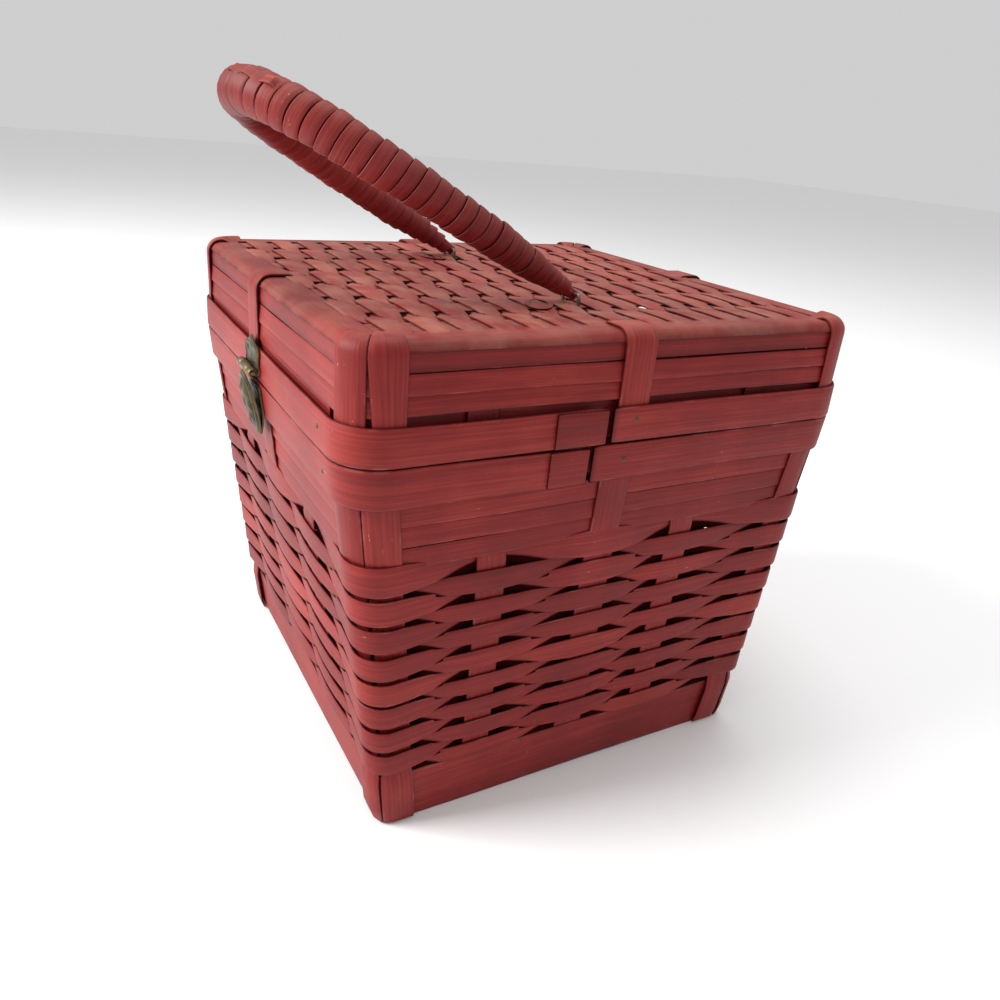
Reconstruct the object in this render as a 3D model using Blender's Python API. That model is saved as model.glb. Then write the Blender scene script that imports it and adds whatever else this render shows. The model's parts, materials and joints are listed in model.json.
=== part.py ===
"""Hinged sewing basket of painted splint weave: a tapered tub, a lid, a swinging handle and a brass hasp.

Metres, +Z up. The origin is on the ground under the middle of the basket. The hasp is on the -Y face,
the hinges are on the +Y face, and the handle swings about an axis along X.
"""

import math

import bmesh
import bpy
from mathutils import Matrix, Vector

MM = 0.001
GAP = 0.3 * MM

# The tub and the lid
BASE_HALF = (95.2 * MM, 90.7 * MM)  # half width and half depth of the wall at the ground
RIM_HALF = (104.0 * MM, 109.0 * MM)  # the same at the joint between tub and lid
JOINT_Z = 160 * MM
LID_TOP = 200 * MM
BASE_RADIUS = 5 * MM
RIM_RADIUS = 14 * MM
LID_EDGE_RADIUS = 5 * MM
RIM_GAP = 0.3 * MM  # half the gap between the two rims

# Splint thicknesses, measured outwards from the wall's reference surface
SPLINT = 0.8 * MM
WALL = 2.4 * MM
WALL_LOW = 2 * MM
RECESS = 1.3 * MM  # how far the wall steps in behind the border strips and the foot band
STAKE_OFFSET = GAP
BAND_OFFSET = STAKE_OFFSET + SPLINT + GAP
BAND = 1.1 * MM
BAND_FACE = BAND_OFFSET + BAND
INNER_BAND_OFFSET = -WALL - GAP

# Heights
FOOT_TOP = 25 * MM
WEAVE_TOP = 121 * MM
BAND_LOW = 145.5 * MM
BAND_HIGH = 173.7 * MM
LID_STRIP_EDGES = (176.3 * MM, 183.0 * MM, 190.0 * MM)
FRONT_STRIP_LOW = 169 * MM
BASE_PANEL = (4 * MM, 6 * MM)
PANEL_THICKNESS = 2 * MM  # the lid's woven top

# Stakes
STAKE_WIDTH = 14 * MM
CORNER_STAKE = 12.5 * MM
STAKE_LOW = 1 * MM
RIGHT_STAKE_Y = -8 * MM  # the stake in the middle of the +X side stands off centre
EDGE_FOLD = 8 * MM  # how far the lid's edge strip runs on over the top
FOLD = 16 * MM  # how far a lid stake runs on over the top
SLIT = 3.0  # degrees, half the slit between the two stakes of a corner

# Where the two rim bands lap, on the +X side: the middle and the length
RIM_LAP = (-29 * MM, 16 * MM)
LID_LAP = (-25.5 * MM, 21 * MM)
LAP_INSET = 0.6 * MM

# Handle
HANDLE_HALF = 55 * MM
HANDLE_LENGTH = 125.5 * MM
HANDLE_POWER = 2.5
HANDLE_TILT = math.radians(29)
LEG_SHARE = 0.35  # the share of its length over which the handle swells from tip to leg
PIVOT = (-1 * MM, LID_TOP + 3.2 * MM)  # y and z of the handle's axis
CORE_END = 1.9 * MM  # the core runs on past the axis by this much
EYE_RADIUS = 2.1 * MM
WRAP_START = 4 * MM
HANDLE_STEPS = 28
WRAP = 1.0 * MM
WRAP_SIDES = 12
TIP_RADIUS = 2.6 * MM
LEG_RADIUS = 6.1 * MM
CROWN_RADIUS = 8.2 * MM
STAPLE_WIRE = 0.8 * MM
STAPLE_HALF = 5.5 * MM
STAPLE_BEND_STEPS = 3
STAPLE_BEND = 1.2 * MM
CLINCH = 3 * MM  # the turned-in end of a staple's leg
BORE = STAPLE_WIRE + GAP
BORE_DEPTH = 20 * MM
BORE_SIDES = 10

# Hasp and hinges
SHEET = 0.6 * MM
PIN = 0.8 * MM
CURL = PIN + GAP + SHEET  # outer radius of a knuckle
HASP_HALF = 11 * MM
HASP_Z = 164.6 * MM
HASP_TOP = 177 * MM
FLAP_LOW = 139.5 * MM
FLAP_HALF = 8.4 * MM
FLAP_BULGE = 1.6 * MM
FLAP_START = 1.2 * MM  # below the pin's height
UPPER_LOW = 161.5 * MM
CREST = 3.4 * MM  # radius of the upper plate's middle lobe
SHOULDER = 3.2 * MM  # radius of its outer lobes
PLATE_LOW = 136 * MM
PLATE_HALF = 9 * MM
PLATE_TOP = 158.5 * MM
PLATE_WAIST = 147 * MM
PLATE_NECK = (3 * MM, 140 * MM)
STUD_Z = 149 * MM
STUD_HEIGHT = 1.2 * MM
STUD_RADII = (2.2 * MM, 1.6 * MM)
HINGE_X = 62 * MM
HINGE_HALF = 12 * MM
HINGE_PIN_END = 0.6 * MM  # how far a hinge's pin shows past its knuckles
HASP_PIN_INSET = 1 * MM
LEAF = 12.5 * MM

SEGMENTS = 4  # steps round each rounded corner
ROUND_SIDES = 12  # sides of a turned piece
SHARP = math.radians(35)  # edges sharper than this stay crisp
STAKE_STEPS = 3  # steps across a corner stake
FINE_STEPS = 400  # steps along the handle's curve from which its even spacing is measured
TURN_X = Matrix.Rotation(math.pi / 2, 3, "X")
TURN_Y = Matrix.Rotation(math.pi / 2, 3, "Y")


def material(name, colour, roughness, metallic=0.0):
    made = bpy.data.materials.new(name)
    made.use_nodes = True
    shader = made.node_tree.nodes["Principled BSDF"]
    shader.inputs["Base Color"].default_value = (*colour, 1)
    shader.inputs["Roughness"].default_value = roughness
    shader.inputs["Metallic"].default_value = metallic
    return made


def group(name, y=0.0, z=0.0):
    """An empty on a joint's axis, which the pieces of one moving body are parented to."""
    empty = bpy.data.objects.new(name, None)
    empty.location = (0, y, z)
    bpy.context.scene.collection.objects.link(empty)
    return empty


def add(name, mesh, finish, body, smooth=True):
    """Make the object for a bmesh drawn in world coordinates, and hang it on its body's empty."""
    bmesh.ops.recalc_face_normals(mesh, faces=mesh.faces)
    data = bpy.data.meshes.new(name)
    mesh.to_mesh(data)
    mesh.free()
    if smooth:
        data.shade_smooth()
        data.set_sharp_from_angle(angle=SHARP)
    data.materials.append(finish)
    piece = bpy.data.objects.new(name, data)
    bpy.context.scene.collection.objects.link(piece)
    if body:
        piece.parent = body
        piece.matrix_parent_inverse.translation = -body.location
    return piece


def prism(mesh, outline, shift):
    """Add a solid with this outline, drawn out by the vector shift."""
    face = mesh.faces.new([mesh.verts.new(point) for point in outline])
    raised = bmesh.ops.extrude_face_region(mesh, geom=[face])["geom"]
    lifted = [item for item in raised if isinstance(item, bmesh.types.BMVert)]
    bmesh.ops.translate(mesh, verts=lifted, vec=shift)


# The tub's outline at any height, and strips that follow it


def tub_half(z):
    share = min(z / JOINT_Z, 1)
    return [low + (high - low) * share for low, high in zip(BASE_HALF, RIM_HALF)]


def corner_radius(z):
    return BASE_RADIUS + (RIM_RADIUS - BASE_RADIUS) * min(z / JOINT_Z, 1)


def corner(index, degrees, z, offset):
    """A point on rounded corner 0 to 3, counted anticlockwise from +X +Y, at 0 to 90 degrees round it."""
    half_x, half_y = tub_half(z)
    radius = corner_radius(z)
    sign_x, sign_y = ((1, 1), (-1, 1), (-1, -1), (1, -1))[index]
    angle = math.radians(90 * index + degrees)
    reach = radius + offset
    return (
        sign_x * (half_x - radius) + reach * math.cos(angle),
        sign_y * (half_y - radius) + reach * math.sin(angle),
        z,
    )


def side(index, along, z, offset):
    """A point on flat side 0 to 3, counted from +X, at a distance from its middle."""
    half_x, half_y = tub_half(z)
    if index == 0:
        return (half_x + offset, along, z)
    if index == 1:
        return (-along, half_y + offset, z)
    if index == 2:
        return (-half_x - offset, -along, z)
    return (along, -half_y - offset, z)


def sweep(name, section, stations, finish, body, closed):
    """Carry a closed section of (offset, z) points through the stations, which are functions of both."""
    mesh = bmesh.new()
    rows = [[mesh.verts.new(place(z, offset)) for offset, z in section] for place in stations]
    pairs = list(zip(rows, rows[1:] + rows[:1]))
    for row, following in pairs if closed else pairs[:-1]:
        for index in range(len(section)):
            after = (index + 1) % len(section)
            mesh.faces.new((row[index], row[after], following[after], following[index]))
    if not closed:
        mesh.faces.new(rows[0])
        mesh.faces.new(rows[-1])
    return add(name, mesh, finish, body)


def hoop(name, section, finish, body):
    """A ring that runs all the way round."""
    stations = [
        lambda z, offset, index=index, degrees=90 * step / SEGMENTS: corner(index, degrees, z, offset)
        for index in range(4)
        for step in range(SEGMENTS + 1)
    ]
    return sweep(name, section, stations, finish, body, closed=True)


def side_strip(name, index, middle, width, section, finish, body):
    stations = [
        lambda z, offset, along=middle + end: side(index, along, z, offset)
        for end in (-width / 2, width / 2)
    ]
    return sweep(name, section, stations, finish, body, closed=False)


def corner_strip(name, index, half, section, finish, body):
    """One of the two stakes of a corner: half 0 lies before the slit and half 1 after it."""
    start, end = ((0, 45 - SLIT), (45 + SLIT, 90))[half]
    turn = (end - start) / STAKE_STEPS
    stations = [
        lambda z, offset, degrees=start + turn * step: corner(index, degrees, z, offset)
        for step in range(STAKE_STEPS + 1)
    ]

    def along_side(z, offset):
        x, y, _ = corner(index, 90 * half, z, offset)
        turn = math.radians(90 * index + 90 * half + 90)
        rest = CORNER_STAKE - corner_radius(z) * math.radians(45 - SLIT)
        reach = rest if half else -rest
        return (x + reach * math.cos(turn), y + reach * math.sin(turn), z)

    stations = [*stations, along_side] if half else [along_side, *stations]
    return sweep(name, section, stations, finish, body, closed=False)


def box_section(low, high, inner, outer):
    return [(inner, low), (outer, low), (outer, high), (inner, high)]


def lid_profile(low, inner, outer, fold, steps=4):
    """A strip's section that rises up the lid's side and folds over its rounded top edge."""

    def path(offset):
        radius = LID_EDGE_RADIUS + offset
        angles = [math.radians(90 * step / steps) for step in range(steps + 1)]
        bend = [
            (radius * math.cos(a) - LID_EDGE_RADIUS, LID_TOP - LID_EDGE_RADIUS + radius * math.sin(a))
            for a in angles
        ]
        end = [(-LID_EDGE_RADIUS - fold, LID_TOP + offset)] if fold else []
        return [(offset, low), *bend, *end]

    return path(outer) + path(inner)[::-1]


def outline_at(z, offset):
    return [
        corner(index, 90 * step / SEGMENTS, z, offset)
        for index in range(4)
        for step in range(SEGMENTS + 1)
    ]


def make_tub(body, splint):
    panel = bmesh.new()
    low, high = BASE_PANEL
    prism(panel, outline_at(low, -WALL - GAP), (0, 0, high - low))
    add("base_panel", panel, splint, body)

    foot = FOOT_TOP + GAP
    border = WEAVE_TOP + GAP
    top = JOINT_Z - RIM_GAP
    wall = [
        (-WALL, WALL_LOW),
        (-RECESS - GAP, WALL_LOW),
        (-RECESS - GAP, foot),
        (0, foot),
        (0, WEAVE_TOP),
        (-RECESS, WEAVE_TOP),
        (-RECESS, top),
        (-WALL, top),
    ]
    hoop("body_weave", wall, splint, body)
    hoop("foot_band", box_section(0, FOOT_TOP, -RECESS, -GAP), splint, body)

    pitch = (BAND_LOW - border) / 3
    for number in range(3):
        strip_low = border + pitch * number
        strip = box_section(strip_low, strip_low + pitch - GAP, -SPLINT - GAP, -GAP)
        hoop(f"border_strip_{number + 1}", strip, splint, body)
    hoop("rim_band_outer", box_section(BAND_LOW, top, BAND_OFFSET, BAND_FACE), splint, body)
    inner = box_section(BAND_LOW, top, INNER_BAND_OFFSET - BAND, INNER_BAND_OFFSET)
    hoop("rim_band_inner", inner, splint, body)
    add_lap("rim_band_lap", BAND_LOW, top, RIM_LAP, splint, body)

    stake = box_section(STAKE_LOW, top, STAKE_OFFSET, STAKE_OFFSET + SPLINT)
    for index, place in enumerate(("right", "back", "left", "front")):
        middle = RIGHT_STAKE_Y if index == 0 else 0
        side_strip(f"stake_{place}", index, middle, STAKE_WIDTH, stake, splint, body)
    for index, place in enumerate(("back_right", "back_left", "front_left", "front_right")):
        for half in range(2):
            corner_strip(f"corner_stake_{place}_{half + 1}", index, half, stake, splint, body)


def add_lap(name, low, high, place, splint, body):
    """The tongue where a rim band runs over its own start."""
    middle, length = place
    inner = BAND_FACE + GAP
    section = box_section(low + LAP_INSET, high - LAP_INSET, inner, inner + SPLINT)
    side_strip(name, 0, middle, length, section, splint, body)


def make_lid(body, splint, wire):
    low = JOINT_Z + RIM_GAP
    hoop("lid_edge_strip", lid_profile(LID_STRIP_EDGES[2], -SPLINT, 0, EDGE_FOLD), splint, body)
    for number, (start, end) in enumerate(zip(LID_STRIP_EDGES, LID_STRIP_EDGES[1:])):
        strip = box_section(start, end - GAP, -SPLINT, 0)
        hoop(f"lid_side_strip_{number + 1}", strip, splint, body)
    hoop("lid_band_outer", box_section(low, BAND_HIGH, BAND_OFFSET, BAND_FACE), splint, body)
    inner = box_section(low, BAND_HIGH, INNER_BAND_OFFSET - BAND, INNER_BAND_OFFSET)
    hoop("lid_band_inner", inner, splint, body)
    add_lap("lid_band_lap", low, BAND_HIGH, LID_LAP, splint, body)
    front = box_section(FRONT_STRIP_LOW, LID_STRIP_EDGES[0] - GAP, -SPLINT, 0)
    side_strip("lid_front_strip", 3, 0, 2 * (RIM_HALF[0] - RIM_RADIUS), front, splint, body)

    folded = lid_profile(low, STAKE_OFFSET, STAKE_OFFSET + SPLINT, FOLD)
    bent = lid_profile(low, STAKE_OFFSET, STAKE_OFFSET + SPLINT, 0)
    for index, place in enumerate(("right", "back", "left", "front")):
        side_strip(f"lid_stake_{place}", index, 0, STAKE_WIDTH, folded, splint, body)
    for index, place in enumerate(("back_right", "back_left", "front_left", "front_right")):
        for half in range(2):
            corner_strip(f"lid_corner_stake_{place}_{half + 1}", index, half, bent, splint, body)
    make_lid_top(body, splint)
    for name, sign in (("left", -1), ("right", 1)):
        make_staple(f"handle_staple_{name}", sign * HANDLE_HALF, body, wire)


def make_lid_top(body, splint):
    """The woven top panel, pierced where the handle's staples pass through."""
    panel = bmesh.new()
    outline = outline_at(LID_TOP - PANEL_THICKNESS, -LID_EDGE_RADIUS - EDGE_FOLD - GAP)
    prism(panel, outline, (0, 0, PANEL_THICKNESS))
    top = add("lid_top_weave", panel, splint, body)
    cutter = bmesh.new()
    for leg in staple_legs():
        made = bmesh.ops.create_cube(cutter, size=2 * (STAPLE_WIRE + GAP))["verts"]
        bmesh.ops.scale(cutter, vec=(1, 1, 4), verts=made)
        bmesh.ops.translate(cutter, vec=(leg, PIVOT[0], LID_TOP), verts=made)
    holes = add("staple_holes", cutter, splint, None)
    holes.hide_render = True
    holes.display_type = "WIRE"
    cut = top.modifiers.new("staple holes", "BOOLEAN")
    cut.operation = "DIFFERENCE"
    cut.object = holes


def staple_legs():
    return [
        sign * HANDLE_HALF + end * STAPLE_HALF for sign in (-1, 1) for end in (-1, 1)
    ]


def wire_curve(name, points, radius, finish, body):
    """A round wire or rod along points of (x, y, z, share of the radius)."""
    data = bpy.data.curves.new(name, "CURVE")
    data.dimensions = "3D"
    data.bevel_depth = radius
    data.bevel_resolution = 2
    data.use_fill_caps = True
    spline = data.splines.new("POLY")
    spline.points.add(len(points) - 1)
    for target, (x, y, z, share) in zip(spline.points, points):
        target.co = (x, y, z, 1)
        target.radius = share
    data.materials.append(finish)
    piece = bpy.data.objects.new(name, data)
    bpy.context.scene.collection.objects.link(piece)
    piece.parent = body
    piece.matrix_parent_inverse.translation = -body.location
    return piece


def make_staple(name, middle, body, wire):
    """A wire over the lid that the handle's end turns on, with its two legs clinched under the lid."""
    y, bar_z = PIVOT
    under = LID_TOP - PANEL_THICKNESS - GAP - STAPLE_WIRE
    bend = STAPLE_BEND
    half = []
    for step in range(STAPLE_BEND_STEPS + 1):
        angle = math.radians(90 * step / STAPLE_BEND_STEPS)
        half.append((STAPLE_HALF - bend + bend * math.sin(angle), bar_z - bend + bend * math.cos(angle)))
    half += [(STAPLE_HALF, under + bend), (STAPLE_HALF - bend, under), (STAPLE_HALF - CLINCH, under)]
    path = [(-x, z) for x, z in reversed(half)] + half
    points = [(middle + x, y, z, 1) for x, z in path]
    wire_curve(name, points, STAPLE_WIRE, wire, body)


def handle_point(angle):
    """The handle's centre line, 0 at the right pivot to pi at the left one, with its distance along."""
    power = 2 / HANDLE_POWER
    x = HANDLE_HALF * math.copysign(abs(math.cos(angle)) ** power, math.cos(angle))
    reach = HANDLE_LENGTH * math.sin(angle) ** power if 0 < angle < math.pi else 0
    return x, reach


def handle_radius(reach):
    """The wrapped handle is slim at its ends and stout at its crown."""
    share = min(reach / (LEG_SHARE * HANDLE_LENGTH), 1)
    leg = TIP_RADIUS + WRAP + (LEG_RADIUS - TIP_RADIUS) * math.sin(share * math.pi / 2)
    crown = max(reach / HANDLE_LENGTH - LEG_SHARE, 0) / (1 - LEG_SHARE)
    return leg + (CROWN_RADIUS - LEG_RADIUS - WRAP) * crown


def tilted(x, reach):
    y, z = PIVOT
    return (x, y - reach * math.cos(HANDLE_TILT), z + reach * math.sin(HANDLE_TILT))


def handle_path(first):
    """Evenly spaced (x, reach) points round the handle, which start and end at a reach of first."""
    fine = [handle_point(math.pi * step / FINE_STEPS) for step in range(FINE_STEPS + 1)]
    lengths = [0.0]
    for start, end in zip(fine, fine[1:]):
        lengths.append(lengths[-1] + math.dist(start, end))
    begin = next(i for i, point in enumerate(fine) if point[1] >= first)
    total = lengths[-1] - 2 * lengths[begin]
    path = []
    for step in range(HANDLE_STEPS + 1):
        target = lengths[begin] + total * step / HANDLE_STEPS
        index = min(range(len(lengths)), key=lambda i: abs(lengths[i] - target))
        path.append(fine[index])
    return path


def make_handle(body, splint):
    wrapped = handle_path(WRAP_START)
    ends = [[(sign * HANDLE_HALF, reach) for reach in (-CORE_END, 0.0)] for sign in (1, -1)]
    core = [*ends[0], *wrapped, *ends[1][::-1]]
    points = []
    for x, reach in core:
        inside = (handle_radius(reach) - WRAP) * math.cos(math.pi / WRAP_SIDES) - GAP
        radius = inside if reach > 0 else EYE_RADIUS
        points.append((*tilted(x, reach), radius / CROWN_RADIUS))
    rod = wire_curve("handle_core", points, CROWN_RADIUS, splint, body)
    bores = bmesh.new()
    for sign in (-1, 1):
        made = bmesh.ops.create_cone(
            bores, cap_ends=True, segments=BORE_SIDES, radius1=BORE, radius2=BORE, depth=BORE_DEPTH
        )["verts"]
        bmesh.ops.rotate(bores, verts=made, cent=(0, 0, 0), matrix=TURN_Y)
        bmesh.ops.translate(bores, verts=made, vec=(sign * HANDLE_HALF, *PIVOT))
    cutter = add("handle_bores", bores, splint, None)
    cutter.hide_render = True
    cutter.display_type = "WIRE"
    to_mesh(rod)
    rod = bpy.data.objects["handle_core"]
    cut = rod.modifiers.new("bores", "BOOLEAN")
    cut.operation = "DIFFERENCE"
    cut.object = cutter
    make_wrap(wrapped, body, splint)


def to_mesh(piece):
    """Turn a curve object into a mesh object of the same name, so that it can be bored."""
    graph = bpy.context.evaluated_depsgraph_get()
    data = bpy.data.meshes.new_from_object(piece.evaluated_get(graph))
    name, body, inverse = piece.name, piece.parent, piece.matrix_parent_inverse.copy()
    bpy.data.objects.remove(piece)
    made = bpy.data.objects.new(name, data)
    bpy.context.scene.collection.objects.link(made)
    made.parent = body
    made.matrix_parent_inverse = inverse


def make_wrap(path, body, splint):
    """The splint wound round the handle, as one sleeve."""
    mesh = bmesh.new()

    def ring(index, radius):
        x, reach = path[index]
        before, after = path[max(index - 1, 0)], path[min(index + 1, len(path) - 1)]
        along_x, along_s = after[0] - before[0], after[1] - before[1]
        length = math.hypot(along_x, along_s)
        normal = (-along_s / length, along_x / length)
        verts = []
        for step in range(WRAP_SIDES):
            angle = 2 * math.pi * step / WRAP_SIDES
            out, up = radius * math.cos(angle), radius * math.sin(angle)
            px, py, pz = tilted(x + normal[0] * out, reach + normal[1] * out)
            lift = (0, up * math.sin(HANDLE_TILT), up * math.cos(HANDLE_TILT))
            verts.append(mesh.verts.new((px, py + lift[1], pz + lift[2])))
        return verts

    outer = [ring(i, handle_radius(path[i][1])) for i in range(len(path))]
    inner = [ring(i, handle_radius(path[i][1]) - WRAP) for i in range(len(path))]
    rows = outer + inner[::-1]
    for row, following in zip(rows, rows[1:] + rows[:1]):
        for index in range(WRAP_SIDES):
            after = (index + 1) % WRAP_SIDES
            mesh.faces.new((row[index], row[after], following[after], following[index]))
    add("handle_wrap", mesh, splint, body)


def ribbon(name, path, half, finish, body, middle=0.0):
    """Sheet metal along a path of (y, z) points, extruded along X."""
    mesh = bmesh.new()
    outer, inner = [], []
    for index, (y, z) in enumerate(path):
        before, after = path[max(index - 1, 0)], path[min(index + 1, len(path) - 1)]
        dy, dz = after[0] - before[0], after[1] - before[1]
        length = math.hypot(dy, dz)
        ny, nz = -dz / length * SHEET / 2, dy / length * SHEET / 2
        outer.append((y + ny, z + nz))
        inner.append((y - ny, z - nz))
    edge = [(middle - half, y, z) for y, z in outer + inner[::-1]]
    prism(mesh, edge, (2 * half, 0, 0))
    return add(name, mesh, finish, body)


def curl_path(sign, centre_y, centre_z, plate_end, facing, turn=300, steps=10):
    """A plate that rises to a knuckle's height and curls outwards round its pin, leaving a small mouth."""
    radius = CURL - SHEET / 2
    curl = []
    for step in range(steps + 1):
        angle = math.radians(turn * step / steps)
        curl.append(
            (centre_y - facing * radius * math.cos(angle), centre_z + sign * radius * math.sin(angle))
        )
    return [(centre_y - facing * radius, plate_end), *curl]


def cut_boxes(piece, boxes, finish):
    """Cut boxes, given by their lowest and highest corners, from a piece."""
    mesh = bmesh.new()
    for low, high in boxes:
        made = bmesh.ops.create_cube(mesh, size=1)["verts"]
        bmesh.ops.scale(mesh, vec=[b - a for a, b in zip(low, high)], verts=made)
        bmesh.ops.translate(mesh, vec=[(a + b) / 2 for a, b in zip(low, high)], verts=made)
    cutter = add(piece.name + "_notches", mesh, finish, None)
    cutter.hide_render = True
    cutter.display_type = "WIRE"
    cut = piece.modifiers.new("notches", "BOOLEAN")
    cut.operation = "DIFFERENCE"
    cut.object = cutter


def rod_x(name, half, radius, y, z, finish, body, middle=0.0):
    mesh = bmesh.new()
    made = bmesh.ops.create_cone(
        mesh, cap_ends=True, segments=ROUND_SIDES, radius1=radius, radius2=radius, depth=2 * half
    )["verts"]
    bmesh.ops.rotate(mesh, verts=made, cent=(0, 0, 0), matrix=TURN_Y)
    bmesh.ops.translate(mesh, verts=made, vec=(middle, y, z))
    return add(name, mesh, finish, body)


HINGE_Y = RIM_HALF[1] + BAND_FACE + GAP + CURL


def make_hinges(tub, lid, brass):
    """Two leaf hinges. The tub's leaf holds the outer knuckles and the pin, the lid's leaf the middle one."""
    third = HINGE_HALF / 3
    reach = CURL + GAP
    for name, sign in (("left", -1), ("right", 1)):
        middle = sign * HINGE_X
        low_path = curl_path(1, HINGE_Y, JOINT_Z, JOINT_Z - LEAF, 1)
        low_leaf = ribbon(f"hinge_{name}_tub_leaf", low_path, HINGE_HALF, brass, tub, middle)
        y_low, y_high = HINGE_Y - 2 * reach, HINGE_Y + 2 * reach
        z_low, z_high = JOINT_Z - reach, JOINT_Z + reach
        notch = ((middle - third - GAP, y_low, z_low), (middle + third + GAP, y_high, z_high))
        cut_boxes(low_leaf, [notch], brass)
        high_path = curl_path(-1, HINGE_Y, JOINT_Z, JOINT_Z + LEAF, 1)
        high_leaf = ribbon(f"hinge_{name}_lid_leaf", high_path, HINGE_HALF, brass, lid, middle)
        notches = [
            ((middle - 2 * HINGE_HALF, y_low, z_low), (middle - third, y_high, z_high)),
            ((middle + third, y_low, z_low), (middle + 2 * HINGE_HALF, y_high, z_high)),
        ]
        cut_boxes(high_leaf, notches, brass)
        rod_x(f"hinge_{name}_pin", HINGE_HALF + HINGE_PIN_END, PIN, HINGE_Y, JOINT_Z, brass, tub, middle)


def plate(name, outline, y, thickness, finish, body):
    """A flat plate that faces -Y: its outline is a list of (x, z)."""
    mesh = bmesh.new()
    prism(mesh, [(x, y, z) for x, z in outline], (0, -thickness, 0))
    return add(name, mesh, finish, body)


def lobe(x, z, radius, start, end, steps=6):
    """Points round part of a circle, in degrees anticlockwise as seen from -Y."""
    angles = [math.radians(start + (end - start) * step / steps) for step in range(steps + 1)]
    return [(x + radius * math.cos(a), z + radius * math.sin(a)) for a in angles]


FRONT = -(RIM_HALF[1] + BAND_FACE + GAP)  # the plane that the hasp's plates lie on
HASP_Y = FRONT - SHEET - CURL
HASP_LEAN = math.atan2(RIM_HALF[1] - tub_half(PLATE_LOW)[1], JOINT_Z - PLATE_LOW)


def make_hasp(tub, lid, hasp, brass):
    """The upper plate and pin are on the lid, the flap swings on them, and the stud is on the tub."""
    crest = HASP_TOP - CREST
    shoulder = crest - SHOULDER
    outline = [(-HASP_HALF, UPPER_LOW), (HASP_HALF, UPPER_LOW)]
    outline += lobe(HASP_HALF - SHOULDER, shoulder, SHOULDER, 0, 110)
    outline += lobe(0, crest, CREST, 10, 170)
    outline += lobe(SHOULDER - HASP_HALF, shoulder, SHOULDER, 70, 180)
    plate("hasp_upper_plate", outline, FRONT, SHEET, brass, lid)
    rod_x("hasp_pin", HASP_HALF - HASP_PIN_INSET, PIN, HASP_Y - GAP, HASP_Z, brass, lid)

    neck_x, neck_z = PLATE_NECK
    lower = [(PLATE_HALF, PLATE_TOP), (-PLATE_HALF, PLATE_TOP), (-PLATE_HALF, PLATE_WAIST)]
    lower += [(-neck_x, neck_z), (0, PLATE_LOW), (neck_x, neck_z), (PLATE_HALF, PLATE_WAIST)]
    base = plate("hasp_lower_plate", lower, FRONT, SHEET, brass, tub)
    stud = bmesh.new()
    low_radius, high_radius = STUD_RADII
    made = bmesh.ops.create_cone(
        stud,
        cap_ends=True,
        segments=ROUND_SIDES,
        radius1=low_radius,
        radius2=high_radius,
        depth=STUD_HEIGHT,
    )["verts"]
    bmesh.ops.rotate(stud, verts=made, cent=(0, 0, 0), matrix=TURN_X)
    middle = FRONT - SHEET - GAP - STUD_HEIGHT / 2
    bmesh.ops.translate(stud, verts=made, vec=(0, middle, STUD_Z))
    knob = add("hasp_stud", stud, brass, tub)
    for piece in (base, knob):
        lean_back(piece, HASP_LEAN)
    ribbon("hasp_flap", flap_path(), FLAP_HALF, brass, hasp)


def flap_path(steps=8):
    """The flap's section: a bulge over the stud, leaning back with the tub's side, below its knuckle."""
    centre_y = HASP_Y - GAP
    start = HASP_Z - FLAP_START
    front = centre_y - CURL + SHEET / 2
    rest = FRONT - 1.5 * SHEET - 2 * GAP + (JOINT_Z - FLAP_LOW) * math.tan(HASP_LEAN)
    tail = []
    for step in range(steps + 1):
        share = step / steps
        y = front + (rest - front) * share - FLAP_BULGE * math.sin(math.pi * share)
        tail.append((y, start - (start - FLAP_LOW) * share))
    knuckle = curl_path(1, centre_y, HASP_Z, start, 1, turn=290)
    return tail[::-1] + knuckle[1:]


def lean_back(piece, angle):
    """Turn a piece about the rim's edge so that it lies on the tapered side."""
    edge = Matrix.Translation(Vector((0, FRONT, JOINT_Z)))
    piece.data.transform(edge @ Matrix.Rotation(angle, 4, "X") @ edge.inverted())


def main():
    for old in list(bpy.data.objects):
        bpy.data.objects.remove(old)
    splint = material("red_splint", (0.26, 0.035, 0.035), 0.55)
    grip = material("handle_splint", (0.28, 0.04, 0.035), 0.5)
    brass = material("aged_brass", (0.09, 0.07, 0.035), 0.5, 0.9)
    wire = material("wire", (0.25, 0.23, 0.2), 0.45, 1.0)
    tub = group("tub_frame")
    lid = group("lid_hinge_axis", HINGE_Y, JOINT_Z)
    handle = group("handle_axis", *PIVOT)
    hasp = group("hasp_axis", HASP_Y - GAP, HASP_Z)
    make_tub(tub, splint)
    make_lid(lid, splint, wire)
    make_handle(handle, grip)
    make_hinges(tub, lid, brass)
    make_hasp(tub, lid, hasp, brass)


main()
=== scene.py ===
"""The looks of the sewing basket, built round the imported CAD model.

Every splint is its own swept strip. The tub and the lid share one way of placing a strip: a place on the
wall is (t, ds, z, offset), where t runs from 0 to 8 round the outline (even steps are the rounded corners,
odd steps the flat sides, anticlockwise from the corner at +X +Y), ds is a distance along the outline from t,
z is the height, and offset is the distance outwards from the wall's reference surface.
"""
import json
import math

import bmesh
import bpy
import numpy as np
from mathutils import Matrix, Vector


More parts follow.
